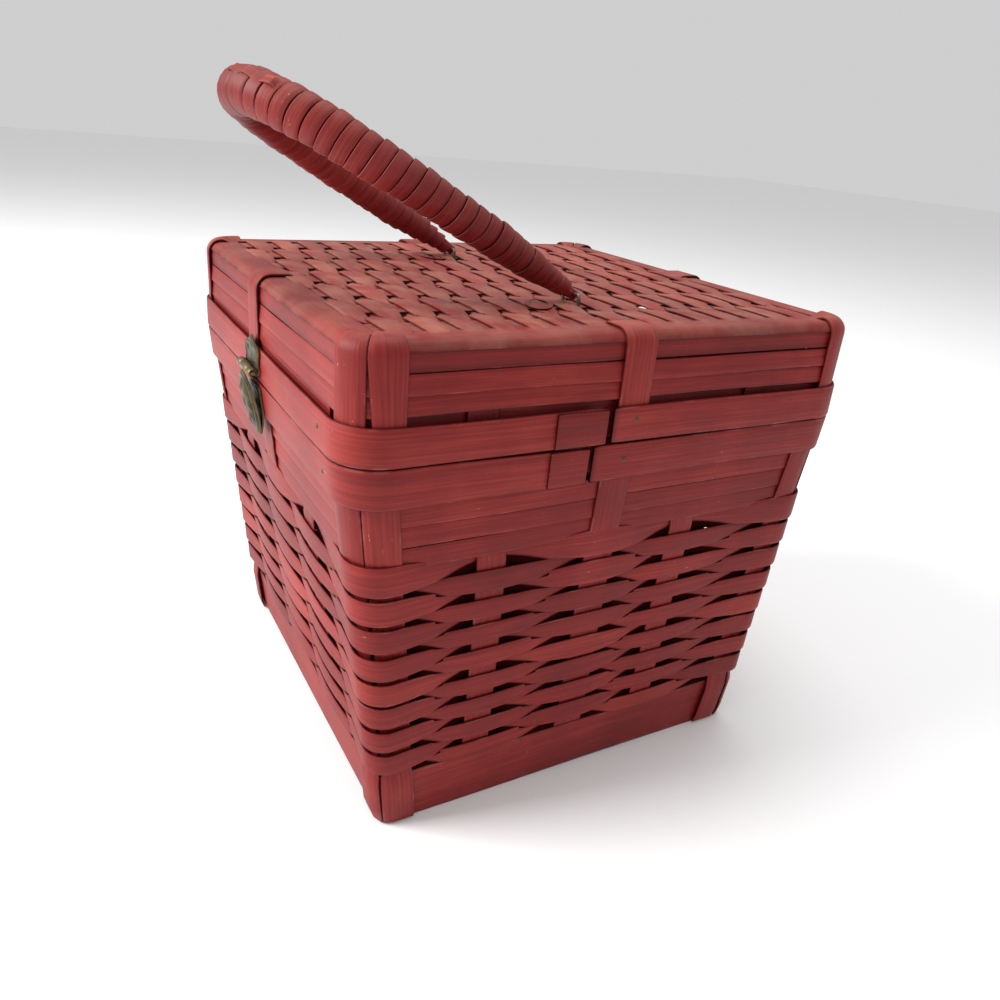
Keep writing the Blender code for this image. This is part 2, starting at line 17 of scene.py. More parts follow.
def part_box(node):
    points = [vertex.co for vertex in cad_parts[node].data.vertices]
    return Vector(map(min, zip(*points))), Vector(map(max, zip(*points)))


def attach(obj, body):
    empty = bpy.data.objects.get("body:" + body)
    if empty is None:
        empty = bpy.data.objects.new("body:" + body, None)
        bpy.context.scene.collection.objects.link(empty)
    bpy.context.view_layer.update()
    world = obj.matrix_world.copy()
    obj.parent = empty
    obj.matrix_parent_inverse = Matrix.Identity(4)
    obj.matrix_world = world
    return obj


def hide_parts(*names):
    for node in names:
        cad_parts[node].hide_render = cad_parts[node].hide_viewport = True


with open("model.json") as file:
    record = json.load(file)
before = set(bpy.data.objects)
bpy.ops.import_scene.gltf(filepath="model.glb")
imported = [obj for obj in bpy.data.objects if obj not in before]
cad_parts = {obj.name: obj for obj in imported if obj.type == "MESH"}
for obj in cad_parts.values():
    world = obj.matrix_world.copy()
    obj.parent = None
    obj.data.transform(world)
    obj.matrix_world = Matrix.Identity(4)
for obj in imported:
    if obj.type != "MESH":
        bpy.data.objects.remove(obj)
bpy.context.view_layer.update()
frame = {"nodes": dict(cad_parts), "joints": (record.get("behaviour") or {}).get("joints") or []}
MM = 0.001
random = np.random.default_rng(11)

# Sizes read from the frame
GAP = 0.3 * MM
BAND_FACE = 2.5 * MM  # how far the outer rim bands stand proud of the wall
RIM_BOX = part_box("rim_band_outer")
FOOT_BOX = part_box("foot_band")
LID_BAND_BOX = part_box("lid_band_outer")
FOOT_TOP = FOOT_BOX[1][2]
BAND_LOW, JOINT_Z = RIM_BOX[0][2], RIM_BOX[1][2] + GAP
LID_BAND_HIGH = LID_BAND_BOX[1][2]
LID_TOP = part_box("lid_top_weave")[1][2]
STRIP_EDGES = [
    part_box("lid_side_strip_1")[0][2],
    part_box("lid_side_strip_2")[0][2],
    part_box("lid_edge_strip")[0][2],
]
EDGE_SPLIT = 1.4 * MM  # where the lid's edge splints part, measured past the start of the bend
WEAVE_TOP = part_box("border_strip_1")[0][2] - GAP
RIM_HALF = np.array(RIM_BOX[1][:2]) - BAND_FACE
FOOT_HALF = np.array(FOOT_BOX[1][:2]) + GAP
BASE_RADIUS, RIM_RADIUS = 5 * MM, 14 * MM
LID_EDGE_RADIUS = 5 * MM
EDGE_FOLD = 8 * MM

# Splints
SPLINT = 0.9 * MM
STAKE_DEPTH = -0.6 * MM  # the stakes' middle, measured from the wall's reference surface
WAVE = 1.35 * MM  # how far a weaver swings out and in of the stakes
STAKE_WIDTH = 14 * MM
CORNER_STAKE = 12.2 * MM
QUARTER_STAKE = 12 * MM
CORNER_SPACING = 6.8 * MM
CORNER_BULGE = 1.3 * MM  # how much further out the weavers swing at a corner
WIDE_ROW, NARROW_ROW = 1.6, 1.3  # widths of the weavers in front of a stake, as shares of the row pitch
SQUEEZED = 1.12  # the same where they pass behind, or from behind to the front
ROWS = 16
WEDGE_START, WEDGE_SLANT = 0.77, 0.4  # where the shade on a splint that dives behind a stake begins
START = 1.5  # about where a hoop's two ends lap, on the back
LAP, STAGGER = 0.09, 0.7  # the length of that lap and how far it moves from hoop to hoop
TUCK = 0.95 * MM  # how far the last end dives in at the lap
WALL_ROUND, LID_ROUND = 0.78, 0.8  # about the outline's length in metres, which carries the grain past a turn
WANDER = (31, 67)  # how fast a splint's edge strays up and down, in radians per metre
UNEVEN, UNEVENNESS = 43, 0.02  # the same for its width, and how much of the width that is


# ---- placing points on the wall ----

def half_size(z, axis):
    """The wall's half size along X (axis 0) or Y (axis 1), which stops growing at the rim."""
    slope = (RIM_HALF[axis] - FOOT_HALF[axis]) / (JOINT_Z - FOOT_TOP)
    return RIM_HALF[axis] + np.minimum(z - JOINT_Z, 0) * slope


def corner_radius(z):
    return BASE_RADIUS + (RIM_RADIUS - BASE_RADIUS) * np.clip(z / JOINT_Z, 0, 1)


def segment_lengths(z):
    radius = corner_radius(z)
    arc = radius * math.pi / 2
    side_y = 2 * (half_size(z, 1) - radius)
    side_x = 2 * (half_size(z, 0) - radius)
    return [arc, side_x, arc, side_y, arc, side_x, arc, side_y]


def distance_round(t, z):
    """The distance round the outline from t = 0, for t from 0 to 8."""
    total = np.zeros(np.broadcast(t, z).shape)
    for index, length in enumerate(segment_lengths(z)):
        total = total + np.clip(t - index, 0, 1) * length
    return total


def corner_distance(ts, z):
    """How far each station is from the middle of the nearest corner."""
    z = np.array(z)
    whole = float(sum(segment_lengths(z)))
    run = distance_round(np.mod(ts, 8), z)
    middles = [float(distance_round(np.array(2.0 * k + 0.5), z)) for k in range(4)]
    away = [np.abs(run - middle - turn * whole) for middle in middles for turn in (-1, 0, 1)]
    return np.min(away, axis=0)


def wall(t, ds, z, offset):
    """World positions for arrays of places on the wall."""
    t, ds, z, offset = np.broadcast_arrays(*[np.asarray(v, float) for v in (t, ds, z, offset)])
    t = np.mod(t, 8)
    lengths = segment_lengths(z)
    whole = sum(lengths)
    run = np.mod(distance_round(t, z) + ds, whole)
    radius = corner_radius(z)
    x, y = np.zeros(z.shape), np.zeros(z.shape)
    start = np.zeros(z.shape)
    for index, length in enumerate(lengths):
        share = (run - start) / length
        here = (share >= 0) & (share <= 1)
        corner = index // 2
        if index % 2 == 0:
            sign_x, sign_y = ((1, 1), (-1, 1), (-1, -1), (1, -1))[corner]
            angle = math.pi / 2 * (corner + share)
            px = sign_x * (half_size(z, 0) - radius) + (radius + offset) * np.cos(angle)
            py = sign_y * (half_size(z, 1) - radius) + (radius + offset) * np.sin(angle)
        else:
            along = (share - 0.5) * length
            side = (corner + 1) % 4
            reach = half_size(z, side % 2) + offset
            px, py = ((reach, along), (-along, reach), (-reach, -along), (along, -reach))[side]
        x, y = np.where(here, px, x), np.where(here, py, y)
        start = start + length
    return np.stack([x, y, z], -1)


def lid_height(path, offset):
    """Turn a distance up the lid's side and over its rounded edge into a height and an offset."""
    bend_start = LID_TOP - LID_EDGE_RADIUS
    arc = LID_EDGE_RADIUS * math.pi / 2
    angle = np.clip((path - bend_start) / LID_EDGE_RADIUS, 0, math.pi / 2)
    over = np.maximum(path - bend_start - arc, 0)
    reach = LID_EDGE_RADIUS + offset
    z = np.where(path < bend_start, path, bend_start + reach * np.sin(angle))
    out = np.where(path < bend_start, offset, reach * np.cos(angle) - LID_EDGE_RADIUS - over)
    return z, out


# ---- strips ----

SECTION = np.array([
    (-1, -0.25), (-1, 0.25), (-0.92, 0.5), (-0.35, 0.5), (0.35, 0.5),
    (0.92, 0.5), (1, 0.25), (1, -0.25), (0.92, -0.5), (-0.92, -0.5),
])
ACROSS, DEPTH = SECTION[:, 0], SECTION[:, 1]
EDGE_SHADE = np.where(np.abs(ACROSS) > 0.99, 0.55, 0) + np.where(DEPTH < -0.4, 0.35, 0)


class Splints:
    """Strips gathered into one mesh, with the attributes that the paint reads from them."""

    def __init__(self):
        self.points, self.faces, self.grain, self.state, self.under = [], [], [], [], []
        self.count = 0

    def add(self, grid, run, across, painted_shade=0.0, dust=0.0, under=0.0, section=ACROSS, shades=EDGE_SHADE,
            lapped=0):
        """Add one strip: grid is (stations, section points, 3), the argument after across is its painted
        shade and dust its dustiness.

        run and across say where each point is in the grain. section goes from -1 to 1 across the strip, and
        under from 0 where it is in front to 1 where it is behind, which the paint turns into painted shade.
        lapped is 1 where the next strip covers its upper edge, which the paint marks with a painted shadow
        line.
        """
        stations, around, _ = grid.shape
        first = self.count
        self.points.append(grid.reshape(-1, 3))
        seed = random.random()
        grain = np.empty((stations, around, 3))
        grain[..., 0] = np.broadcast_to(np.reshape(run, (-1, 1)), (stations, around))
        grain[..., 1] = np.broadcast_to(across, (stations, around))
        grain[..., 2] = seed
        self.grain.append(grain.reshape(-1, 3))
        state = np.zeros((stations, around, 3))
        shade = np.broadcast_to(np.reshape(painted_shade, (-1, 1)), (stations, 1)) + shades
        state[..., 0] = np.clip(shade, 0, 1)
        state[..., 1] = np.broadcast_to(np.reshape(dust, (-1, 1)), (stations, around))
        state[..., 2] = np.abs(section)
        self.state.append(state.reshape(-1, 3))
        behind = np.zeros((stations, around, 3))
        behind[..., 0] = np.broadcast_to(np.reshape(under, (-1, 1)), (stations, around))
        behind[..., 1] = section
        behind[..., 2] = lapped
        self.under.append(behind.reshape(-1, 3))
        for row in range(stations - 1):
            low = first + row * around
            for k in range(around):
                after = (k + 1) % around
                self.faces.append((low + k, low + after, low + around + after, low + around + k))
        self.faces.append(tuple(first + k for k in range(around)))
        last = first + (stations - 1) * around
        self.faces.append(tuple(last + k for k in range(around)))
        self.count += stations * around

    def add_plain(self, grid, run, along, across, painted_shade, dust=0.0):
        """Add a strip whose section is its own: across runs from -1 to 1 and back over its points."""
        shades = np.where(np.abs(across) > 0.99, 0.45, 0)
        self.add(grid, run, along, painted_shade, dust, 0.0, across, shades)

    def build(self, name, body, look, replaces=()):
        """Make the piece with the material from look; the slot name in look is not used."""
        data = bpy.data.meshes.new(name)
        data.from_pydata(np.concatenate(self.points).tolist(), [], self.faces)
        for label, values in (("grain", self.grain), ("state", self.state), ("under", self.under)):
            attribute = data.attributes.new(label, "FLOAT_VECTOR", "POINT")
            attribute.data.foreach_set("vector", np.concatenate(values).ravel())
        finish_piece(name, data, body, *look, replaces)


def finish_piece(name, data, body, slot, material, replaces=(), angle=40):
    mesh = bmesh.new()
    mesh.from_mesh(data)
    bmesh.ops.recalc_face_normals(mesh, faces=mesh.faces)
    mesh.to_mesh(data)
    mesh.free()
    data.shade_smooth()
    data.set_sharp_from_angle(angle=math.radians(angle))
    data.materials.append(material)
    piece = bpy.data.objects.new(name, data)
    bpy.context.scene.collection.objects.link(piece)
    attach(piece, body)
    if replaces:
        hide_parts(*replaces)


def hoop_stations(step=3.2 * MM, start=None, z=0.1, lap=LAP):
    """Values of t round the outline, closer together on the corners, with an end that laps the start."""
    if start is None:
        start = START + STAGGER * (random.random() - 0.5)
    lengths = segment_lengths(np.array(z))
    ts = []
    for index, length in enumerate(lengths):
        count = max(int(length / step), 7 if index % 2 == 0 else 2)
        ts += [index + k / count for k in range(count)]
    ts = np.sort(np.mod(np.array(ts) - start, 8)) + start
    return np.append(ts, ts[0] + 8 + np.linspace(0, lap, 5 if lap else 1))


def tucked(ts):
    """How far a hoop's last end dives in behind its first one."""
    start = max(ts[0] + 8, ts[-1] - LAP)
    whole_turn = ts[-1] > ts[0] + 8
    return TUCK * np.clip((ts - start) / (0.2 * LAP) + 1, 0, 1) if whole_turn else np.zeros(ts.shape)


def waver(run, rate):
    """A slow sine along a splint, from a random place in its swing."""
    return np.sin(run * rate + random.random() * 6)


def add_hoop(splints, z, width, offset, thickness=SPLINT, tilt=0.0, painted_shade=0.0, ts=None, ragged=0.15, under=0.0,
             lapped=0):
    """A strip that runs round the wall. z, offset and width may be arrays over the stations."""
    ts = hoop_stations() if ts is None else ts
    run = distance_round(np.mod(ts, 8), np.array(0.1)) + np.floor(ts / 8) * WALL_ROUND
    z = np.broadcast_to(z, ts.shape) + ragged * MM * (waver(run, WANDER[0]) + waver(run, WANDER[1]))
    width = np.broadcast_to(width, ts.shape) * (1 + UNEVENNESS * waver(run, UNEVEN))
    offset = np.broadcast_to(offset, ts.shape) - tucked(ts)
    heights = z[:, None] + ACROSS * width[:, None] / 2
    depths = offset[:, None] + DEPTH * thickness - ACROSS * tilt
    grid = wall(ts[:, None], 0, heights, depths)
    splints.add(grid, run, ACROSS * width[:, None] / 2, painted_shade, 0.0, under, lapped=lapped)


def add_upright(splints, t, width, z, offset, painted_shade, shift):
    """A strip that runs up the wall at t. offset and shift may be arrays over its heights z."""
    offset = np.broadcast_to(offset, z.shape)
    shift = np.broadcast_to(shift, z.shape)
    ds = shift[:, None] + ACROSS * width / 2
    grid = wall(t, ds, z[:, None], offset[:, None] + DEPTH * SPLINT)
    splints.add(grid, z, ACROSS * width / 2, painted_shade)


def add_lid_upright(splints, t, width, low, fold, offset, dust, shift, taper):
    """A strip that climbs the lid's side and folds over its edge, narrower by taper at its foot."""
    top = LID_TOP - LID_EDGE_RADIUS + LID_EDGE_RADIUS * math.pi / 2 + fold
    bend = LID_TOP - LID_EDGE_RADIUS
    path = np.concatenate([np.linspace(low, bend, 9)[:-1], np.linspace(bend, top, 14)])
    dive = max(top - 5 * MM, bend)
    offset = np.interp(path, [low, LID_BAND_HIGH, dive, top], [offset - 0.1 * MM, offset, offset, -1.4 * MM])
    z, out = lid_height(path[:, None], offset[:, None] + DEPTH * SPLINT)
    missing = taper * np.clip((bend - path) / (bend - low), 0, 1)
    ds = shift + ACROSS * width / 2 + missing[:, None] * (1 - ACROSS) / 2
    lid_dust = np.clip((path - bend) / (8 * MM), 0, 1) * dust
    grid = wall(t, np.broadcast_to(ds, z.shape), z, out)
    splints.add(grid, path, ACROSS * width / 2, 0.0, lid_dust)


def add_flat(splints, axis, run, middle, half, height, thickness, *looks):
    """A level strip along X (axis 0) or Y (axis 1). middle, half and height may be arrays over its run."""
    middle, half, height = [np.broadcast_to(v, run.shape)[:, None] for v in (middle, half, height)]
    grid = np.empty((len(run), len(ACROSS), 3))
    grid[..., axis] = run[:, None]
    grid[..., 1 - axis] = middle + ACROSS * half
    grid[..., 2] = height + DEPTH * thickness
    splints.add(grid, run, ACROSS * half, *looks)


# ---- materials ----

CHALKY, RUBBED, CHIPPED = (0.36, 0.2, 0.14), (0.5, 0.16, 0.13), (0.42, 0.26, 0.13)
# the colour of the painted shade in crevices, behind stakes and along strip edges
PAINTED_SHADE_COLOUR = (0.012, 0.0015, 0.0015)


def attribute(tree, name):
    """The vector of one of the attributes that Splints writes."""
    made = tree.nodes.new("ShaderNodeAttribute")
    made.attribute_name = name
    return made.outputs["Vector"]


def split(tree, vector):
    made = tree.nodes.new("ShaderNodeSeparateXYZ")
    tree.links.new(vector, made.inputs[0])
    return made.outputs


def object_place(tree):
    return tree.nodes.new("ShaderNodeTexCoord").outputs["Object"]


def mix(tree, factor, first, second, blend="MIX"):
    """A colour mix. factor, first and second are sockets or plain values."""
    made = tree.nodes.new("ShaderNodeMix")
    made.data_type = "RGBA"
    made.blend_type = blend
    for socket, value in ((made.inputs[0], factor), (made.inputs[6], first), (made.inputs[7], second)):
        if isinstance(value, bpy.types.NodeSocket):
            tree.links.new(value, socket)
        else:
            socket.default_value = value if not isinstance(value, tuple) else (*value, 1)
    return made.outputs[2]


def calc(tree, operation, first, second=0.0, third=None, clamp=False):
    made = tree.nodes.new("ShaderNodeMath")
    made.operation = operation
    made.use_clamp = clamp
    values = [first, second] + ([] if third is None else [third])
    for socket, value in zip(made.inputs, values):
        if isinstance(value, bpy.types.NodeSocket):
            tree.links.new(value, socket)
        else:
            socket.default_value = value
    return made.outputs[0]


def span(tree, value, low, high, to_low=0.0, to_high=1.0):
    made = tree.nodes.new("ShaderNodeMapRange")
    tree.links.new(value, made.inputs[0])
    for socket, number in zip(made.inputs[1:5], (low, high, to_low, to_high)):
        socket.default_value = number
    return made.outputs[0]


def noise(tree, vector, scale, detail=3.0, roughness=0.55):
    made = tree.nodes.new("ShaderNodeTexNoise")
    made.inputs["Scale"].default_value = scale
    made.inputs["Detail"].default_value = detail
    made.inputs["Roughness"].default_value = roughness
    tree.links.new(vector, made.inputs["Vector"])
    return made.outputs["Fac"]


def scaled(tree, vector, factors):
    made = tree.nodes.new("ShaderNodeVectorMath")
    made.operation = "MULTIPLY"
    tree.links.new(vector, made.inputs[0])
    made.inputs[1].default_value = factors
    return made.outputs[0]


def new_material(name):
    made = bpy.data.materials.new(name)
    made.use_nodes = True
    return made, made.node_tree, made.node_tree.nodes["Principled BSDF"]


def bump(tree, shader, height, strength, distance):
    made = tree.nodes.new("ShaderNodeBump")
    made.inputs["Strength"].default_value = strength
    made.inputs["Distance"].default_value = distance
    tree.links.new(height, made.inputs["Height"])
    tree.links.new(made.outputs[0], shader.inputs["Normal"])


def painted_splint(name, dark, main, light, dusty=0.5):
    """Splint under thick brushed paint: grain streaks, uneven coats, painted shade in crevices, behind stakes
    and under lapped edges, dust and small chips.
    """
    made, tree, shader = new_material(name)
    grain = attribute(tree, "grain")
    painted_shade, dust, edge = split(tree, attribute(tree, "state"))
    behind, section, lapped = split(tree, attribute(tree, "under"))
    place = object_place(tree)

    streaks = noise(tree, scaled(tree, grain, (22, 900, 60)), 1, 4)
    fibres = noise(tree, scaled(tree, grain, (60, 3200, 90)), 1, 2)
    coats = noise(tree, place, 24, 4)
    blotches = noise(tree, place, 75, 3)
    tint = noise(tree, scaled(tree, grain, (0.5, 0.5, 71)), 3, 0)

    tone = calc(tree, "MULTIPLY_ADD", streaks, 0.55, calc(tree, "MULTIPLY", coats, 0.5))
    tone = calc(tree, "MULTIPLY_ADD", tint, 0.55, calc(tree, "SUBTRACT", tone, 0.3))
    ramp = tree.nodes.new("ShaderNodeValToRGB")
    tree.links.new(tone, ramp.inputs[0])
    steps = ramp.color_ramp.elements
    steps[0].position, steps[0].color = 0.25, (*dark, 1)
    steps[1].position, steps[1].color = 0.78, (*light, 1)
    steps.new(0.5).color = (*main, 1)
    colour = ramp.outputs[0]

    grime = calc(tree, "MULTIPLY", dust, span(tree, blotches, 0.3, 0.75), clamp=True)
    colour = mix(tree, calc(tree, "MULTIPLY", grime, dusty), colour, CHALKY)
    rubbed = calc(tree, "MULTIPLY", span(tree, edge, 0.86, 0.94), span(tree, blotches, 0.52, 0.7))
    colour = mix(tree, calc(tree, "MULTIPLY", rubbed, 0.35), colour, RUBBED)
    chips = noise(tree, scaled(tree, grain, (420, 1500, 33)), 1, 2)
    chip_zone = calc(tree, "MULTIPLY", span(tree, chips, 0.74, 0.77), span(tree, coats, 0.5, 0.6))
    colour = mix(tree, chip_zone, colour, CHIPPED)
    # painted shade from the strip's shade value, then a painted shade wedge where a splint dives behind a
    # stake
    shade = span(tree, calc(tree, "ADD", painted_shade, calc(tree, "MULTIPLY", streaks, 0.25)), 0.25, 1.0)
    limit = calc(tree, "MULTIPLY_ADD", section, WEDGE_SLANT, WEDGE_START)
    ragged = calc(tree, "MULTIPLY_ADD", streaks, 0.08, calc(tree, "MULTIPLY", blotches, 0.06))
    past = calc(tree, "SUBTRACT", calc(tree, "ADD", behind, ragged), limit)
    shade = calc(tree, "MAXIMUM", shade, span(tree, past, 0.02, 0.14, 0, 0.97))
    # a painted shadow line along the top of a strip whose edge the next strip covers
    line = calc(tree, "MULTIPLY", lapped, span(tree, section, 0.8, 0.9, 0, 0.9))
    shade = calc(tree, "MAXIMUM", shade, line)
    # mix the painted shade in
    colour = mix(tree, shade, colour, PAINTED_SHADE_COLOUR)
    tree.links.new(colour, shader.inputs["Base Color"])

    rough = calc(tree, "MULTIPLY_ADD", streaks, 0.25, span(tree, grime, 0, 1, 0.38, 0.62))
    # the painted shade also makes the paint matte and takes its reflection away
    tree.links.new(calc(tree, "MAXIMUM", rough, shade), shader.inputs["Roughness"])
    tree.links.new(span(tree, shade, 0.2, 0.9, 0.24, 0.0), shader.inputs["Specular IOR Level"])
    height = calc(tree, "MULTIPLY_ADD", fibres, 0.5, streaks)
    height = calc(tree, "SUBTRACT", height, calc(tree, "MULTIPLY", chip_zone, 0.8))
    bump(tree, shader, height, 0.55, 0.25 * MM)
    return made


def aged_brass(name):
    """Stamped sheet brass gone brown, bright only where it is rubbed."""
    made, tree, shader = new_material(name)
    place = object_place(tree)
    patina = noise(tree, place, 260, 5, 0.65)
    specks = noise(tree, place, 1400, 2)
    worn = tree.nodes.new("ShaderNodeNewGeometry").outputs["Pointiness"]
    colour = mix(tree, span(tree, patina, 0.35, 0.7), (0.024, 0.019, 0.011), (0.105, 0.078, 0.038))
    colour = mix(tree, calc(tree, "MULTIPLY", span(tree, worn, 0.52, 0.64), 0.4), colour, (0.5, 0.38, 0.19))
    colour = mix(tree, span(tree, specks, 0.66, 0.72, 0, 0.5), colour, (0.1, 0.12, 0.07))
    tree.links.new(colour, shader.inputs["Base Color"])
    shader.inputs["Metallic"].default_value = 0.85
    tree.links.new(span(tree, patina, 0.3, 0.7, 0.32, 0.6), shader.inputs["Roughness"])
    bump(tree, shader, calc(tree, "ADD", patina, specks), 0.35, 0.12 * MM)
    return made


def dull_wire(name):
    made, tree, shader = new_material(name)
    place = object_place(tree)
    paint = noise(tree, place, 320, 3)
    colour = mix(tree, span(tree, paint, 0.52, 0.6), (0.17, 0.14, 0.12), (0.16, 0.03, 0.025))
    tree.links.new(colour, shader.inputs["Base Color"])
    tree.links.new(span(tree, paint, 0.52, 0.6, 0.9, 0.0), shader.inputs["Metallic"])
    tree.links.new(span(tree, paint, 0.3, 0.7, 0.3, 0.55), shader.inputs["Roughness"])
    bump(tree, shader, paint, 0.4, 0.1 * MM)
    return made


REDS = (0.105, 0.005, 0.005), (0.2, 0.0115, 0.0105), (0.34, 0.035, 0.026)
GRIP_REDS = (0.1, 0.007, 0.007), (0.21, 0.016, 0.014), (0.4, 0.055, 0.036)
PAINT = painted_splint("painted_splint", *REDS)
GRIP_PAINT = painted_splint("painted_grip", *GRIP_REDS, dusty=0.35)
RED, GRIP = ("red_splint", PAINT), ("handle_splint", GRIP_PAINT)
BRASS = aged_brass("aged_brass")
WIRE = dull_wire("dull_wire")


# ---- the tub ----

EVEN = (0.25, 0.5, 0.75)
SIDE_STAKES = {7: (0.21, 0.472, 0.69), 1: EVEN, 3: EVEN, 5: EVEN}  # shares of each side
CORNERS = ("back_right", "back_left", "front_left", "front_right")
TOP_ROW_EXTRA, EXTRA_FADES = 0.22, 1.6  # how much taller the top row is, and over how many rows that fades
WEAVER, WEAVER_TILT = 0.85 * MM, 0.25 * MM
CORNER_REACH = 11 * MM
HELD = 0.36  # how far from a stake's middle a weaver lies flat on it, as a share of the stake's width
SOFT = 0.55  # how round its path is from there to the next stake, from 0 for straight


def stake_places():
    """(t, ds, width, kind) of each stake round the wall, in order."""
    places = []
    for t in range(8):
        if t % 2 == 0:
            shift = -4 * MM if t == 0 else 0.5 * MM
            places.append((t + 0.5, shift - CORNER_SPACING, CORNER_STAKE, "corner"))
            places.append((t + 0.5, shift + CORNER_SPACING, CORNER_STAKE, "corner"))
        else:
            for share, kind in zip(SIDE_STAKES[t], ("quarter", "middle", "quarter")):
                places.append((t + share, 0.0, STAKE_WIDTH if kind == "middle" else QUARTER_STAKE, kind))
    return places


def weave_wave(ts, z, sign):
    """How far out a weaver is at each station, from -1 behind a stake to 1 in front of it."""
    z = np.array(z)
    whole = float(sum(segment_lengths(z)))
    marks = []
    for t, ds, width, kind in stake_places():
        centre = float(distance_round(np.array(t), z)) + ds
        out = sign if kind in ("corner", "middle") else -sign
        marks.append((centre - HELD * width, out))
        marks.append((centre + HELD * width, out))
    marks = [(place + turn * whole, out) for turn in (-1, 0, 1) for place, out in marks]
    places = np.array([place for place, _ in marks])
    outs = np.array([out for _, out in marks], float)
    run = distance_round(np.mod(ts, 8), z) + np.where(ts >= 8, whole, 0)
    index = np.clip(np.searchsorted(places, run) - 1, 0, len(places) - 2)
    share = np.clip((run - places[index]) / (places[index + 1] - places[index] + 1e-9), 0, 1)
    ease = share * share * (3 - 2 * share) * SOFT + share * (1 - SOFT)
    return outs[index] + (outs[index + 1] - outs[index]) * ease


def row_heights():
    """The middle height and the pitch of each weaver, tighter towards the foot, from the top down."""
    pitches = 1 + TOP_ROW_EXTRA * np.exp(-np.arange(ROWS) / EXTRA_FADES)
    pitches *= (WEAVE_TOP - FOOT_TOP) / pitches.sum()
    edges = WEAVE_TOP - np.concatenate([[0], np.cumsum(pitches)])
    return zip((edges[:-1] + edges[1:]) / 2, pitches)


def make_weavers():
    splints = Splints()
    for row, (z, pitch) in enumerate(row_heights()):
        sign = 1 if row % 2 == 0 else -1
        ts = hoop_stations(z=z)
        wave = weave_wave(ts, z, sign)
        swell = (WIDE_ROW if sign > 0 else NARROW_ROW) * (1 + 0.025 * random.standard_normal()) - SQUEEZED
        width = pitch * (SQUEEZED + swell * np.clip(wave, 0, 1))
        lift = 0.3 * MM * random.standard_normal()
        bulge = CORNER_BULGE * np.exp(-(corner_distance(ts, z) / CORNER_REACH) ** 2)
        offset = STAKE_DEPTH + WAVE * wave + bulge * (0.4 + 0.6 * (wave > 0))
        # how far behind a stake the weaver lies, which the paint shows as a painted shade wedge
        under = (1 - wave) / 2 * (0.86 if row == 0 else 1)
        add_hoop(splints, z + lift, width, offset, WEAVER, WEAVER_TILT, ts=ts, under=under)
    splints.build("tub_weavers", "tub", RED, ["body_weave"])


def stake_names(prefix):
    """The CAD's stakes: one on each side and two at each corner."""
    names = [f"{prefix}stake_{side}" for side in ("right", "back", "left", "front")]
    return names + [f"{prefix}corner_stake_{corner}_{half}" for corner in CORNERS for half in (1, 2)]


def make_tub_stakes():
    splints = Splints()
    top = JOINT_Z - 0.8 * MM
    z = np.concatenate([np.linspace(0.8 * MM, FOOT_TOP, 7), np.linspace(FOOT_TOP, top, 30)[1:]])
    # painted shade on the stakes where the weavers cover them
    painted_shade = np.where((z > FOOT_TOP) & (z < WEAVE_TOP), 0.12, 0.0)
    bends = [0, 3, FOOT_TOP / MM - 3, FOOT_TOP / MM + 4, WEAVE_TOP / MM - 3, WEAVE_TOP / MM + 2]
    for t, ds, width, kind in stake_places():
        out = 0.6 * MM if kind != "quarter" else -1.7 * MM
        foot = 1.5 * MM if kind == "corner" else -1.6 * MM
        depths = [foot - 1.2 * MM, foot, foot, STAKE_DEPTH, STAKE_DEPTH, out]
        offset = np.interp(z / MM, bends, depths)
        sway = 0.35 * MM * waver(z, 45)
        add_upright(splints, t, width * (1 + 0.03 * random.standard_normal()), z, offset, painted_shade, ds + sway)
    splints.build("tub_stakes", "tub", RED, stake_names(""))


def make_borders():
    low = WEAVE_TOP + GAP
    pitch = (BAND_LOW - low) / 3
    for number in range(3):
        splints = Splints()
        middle = low + pitch * (number + 0.5)
        # lapped=1 gives a painted shadow line under the splint above
        add_hoop(splints, middle, pitch + 0.3 * MM, -0.35 * MM, thickness=0.6 * MM, tilt=0.35 * MM, lapped=1)
        replaced = [f"border_strip_{number + 1}"]
        splints.build(f"border_splint_{number + 1}", "tub", RED, replaced)


BAND, INNER_BAND = 1.1 * MM, -3.3 * MM  # the thickness of the bands, and how deep the inner ones lie


def make_band(name, body, low, high, replaced, ends=None):
    """A rim band whose ends overlap between two places y along the +X side, or the plain inner band."""
    splints = Splints()
    middle, width = (low + high) / 2, high - low - 0.1 * MM
    if ends is None:
        add_hoop(splints, middle, width, INNER_BAND, BAND)
    else:
        outer = BAND_FACE - BAND / 2
        side = float(segment_lengths(middle)[7])
        start, finish = [7 + float(y + half_size(middle, 1) - corner_radius(middle)) / side for y in ends]
        gap = 1.0 * MM / side
        ts = hoop_stations(start=finish - 8 + gap, lap=0)
        ts = np.append(ts[ts < finish - gap], finish)
        # painted shade at the band's two ends, where they leave a gap
        painted_end_shade = np.where((ts < ts[0] + gap) | (ts > ts[-1] - gap), 0.5, 0.0)
        add_hoop(splints, middle, width, outer, BAND, 0.1 * MM, painted_end_shade, ts=ts, ragged=0.12)
        tongue = np.linspace(start, finish, 8)
        # painted shade at the tongue's two ends
        painted_end_shade = np.where((tongue < tongue[1]) | (tongue > tongue[-2]), 0.25, 0.0)
        add_hoop(splints, middle, width - 0.6 * MM, outer + BAND, SPLINT, 0, painted_end_shade, ts=tongue, ragged=0.05)
    splints.build(name, body, RED, replaced)


def make_foot():
    splints = Splints()
    add_hoop(splints, FOOT_TOP / 2 + 0.1 * MM, FOOT_TOP - 0.4 * MM, -0.75 * MM, ragged=0.0)
    splints.build("foot_splint", "tub", RED, ["foot_band"])


FLOOR_COUNT, FLOOR_SHARE, FLOOR_WAVE = 11, 0.46, 0.45 * MM
WIDE_DEPTH = 0.8 * MM  # the thickness of the floor's splints and the lid top's stakes


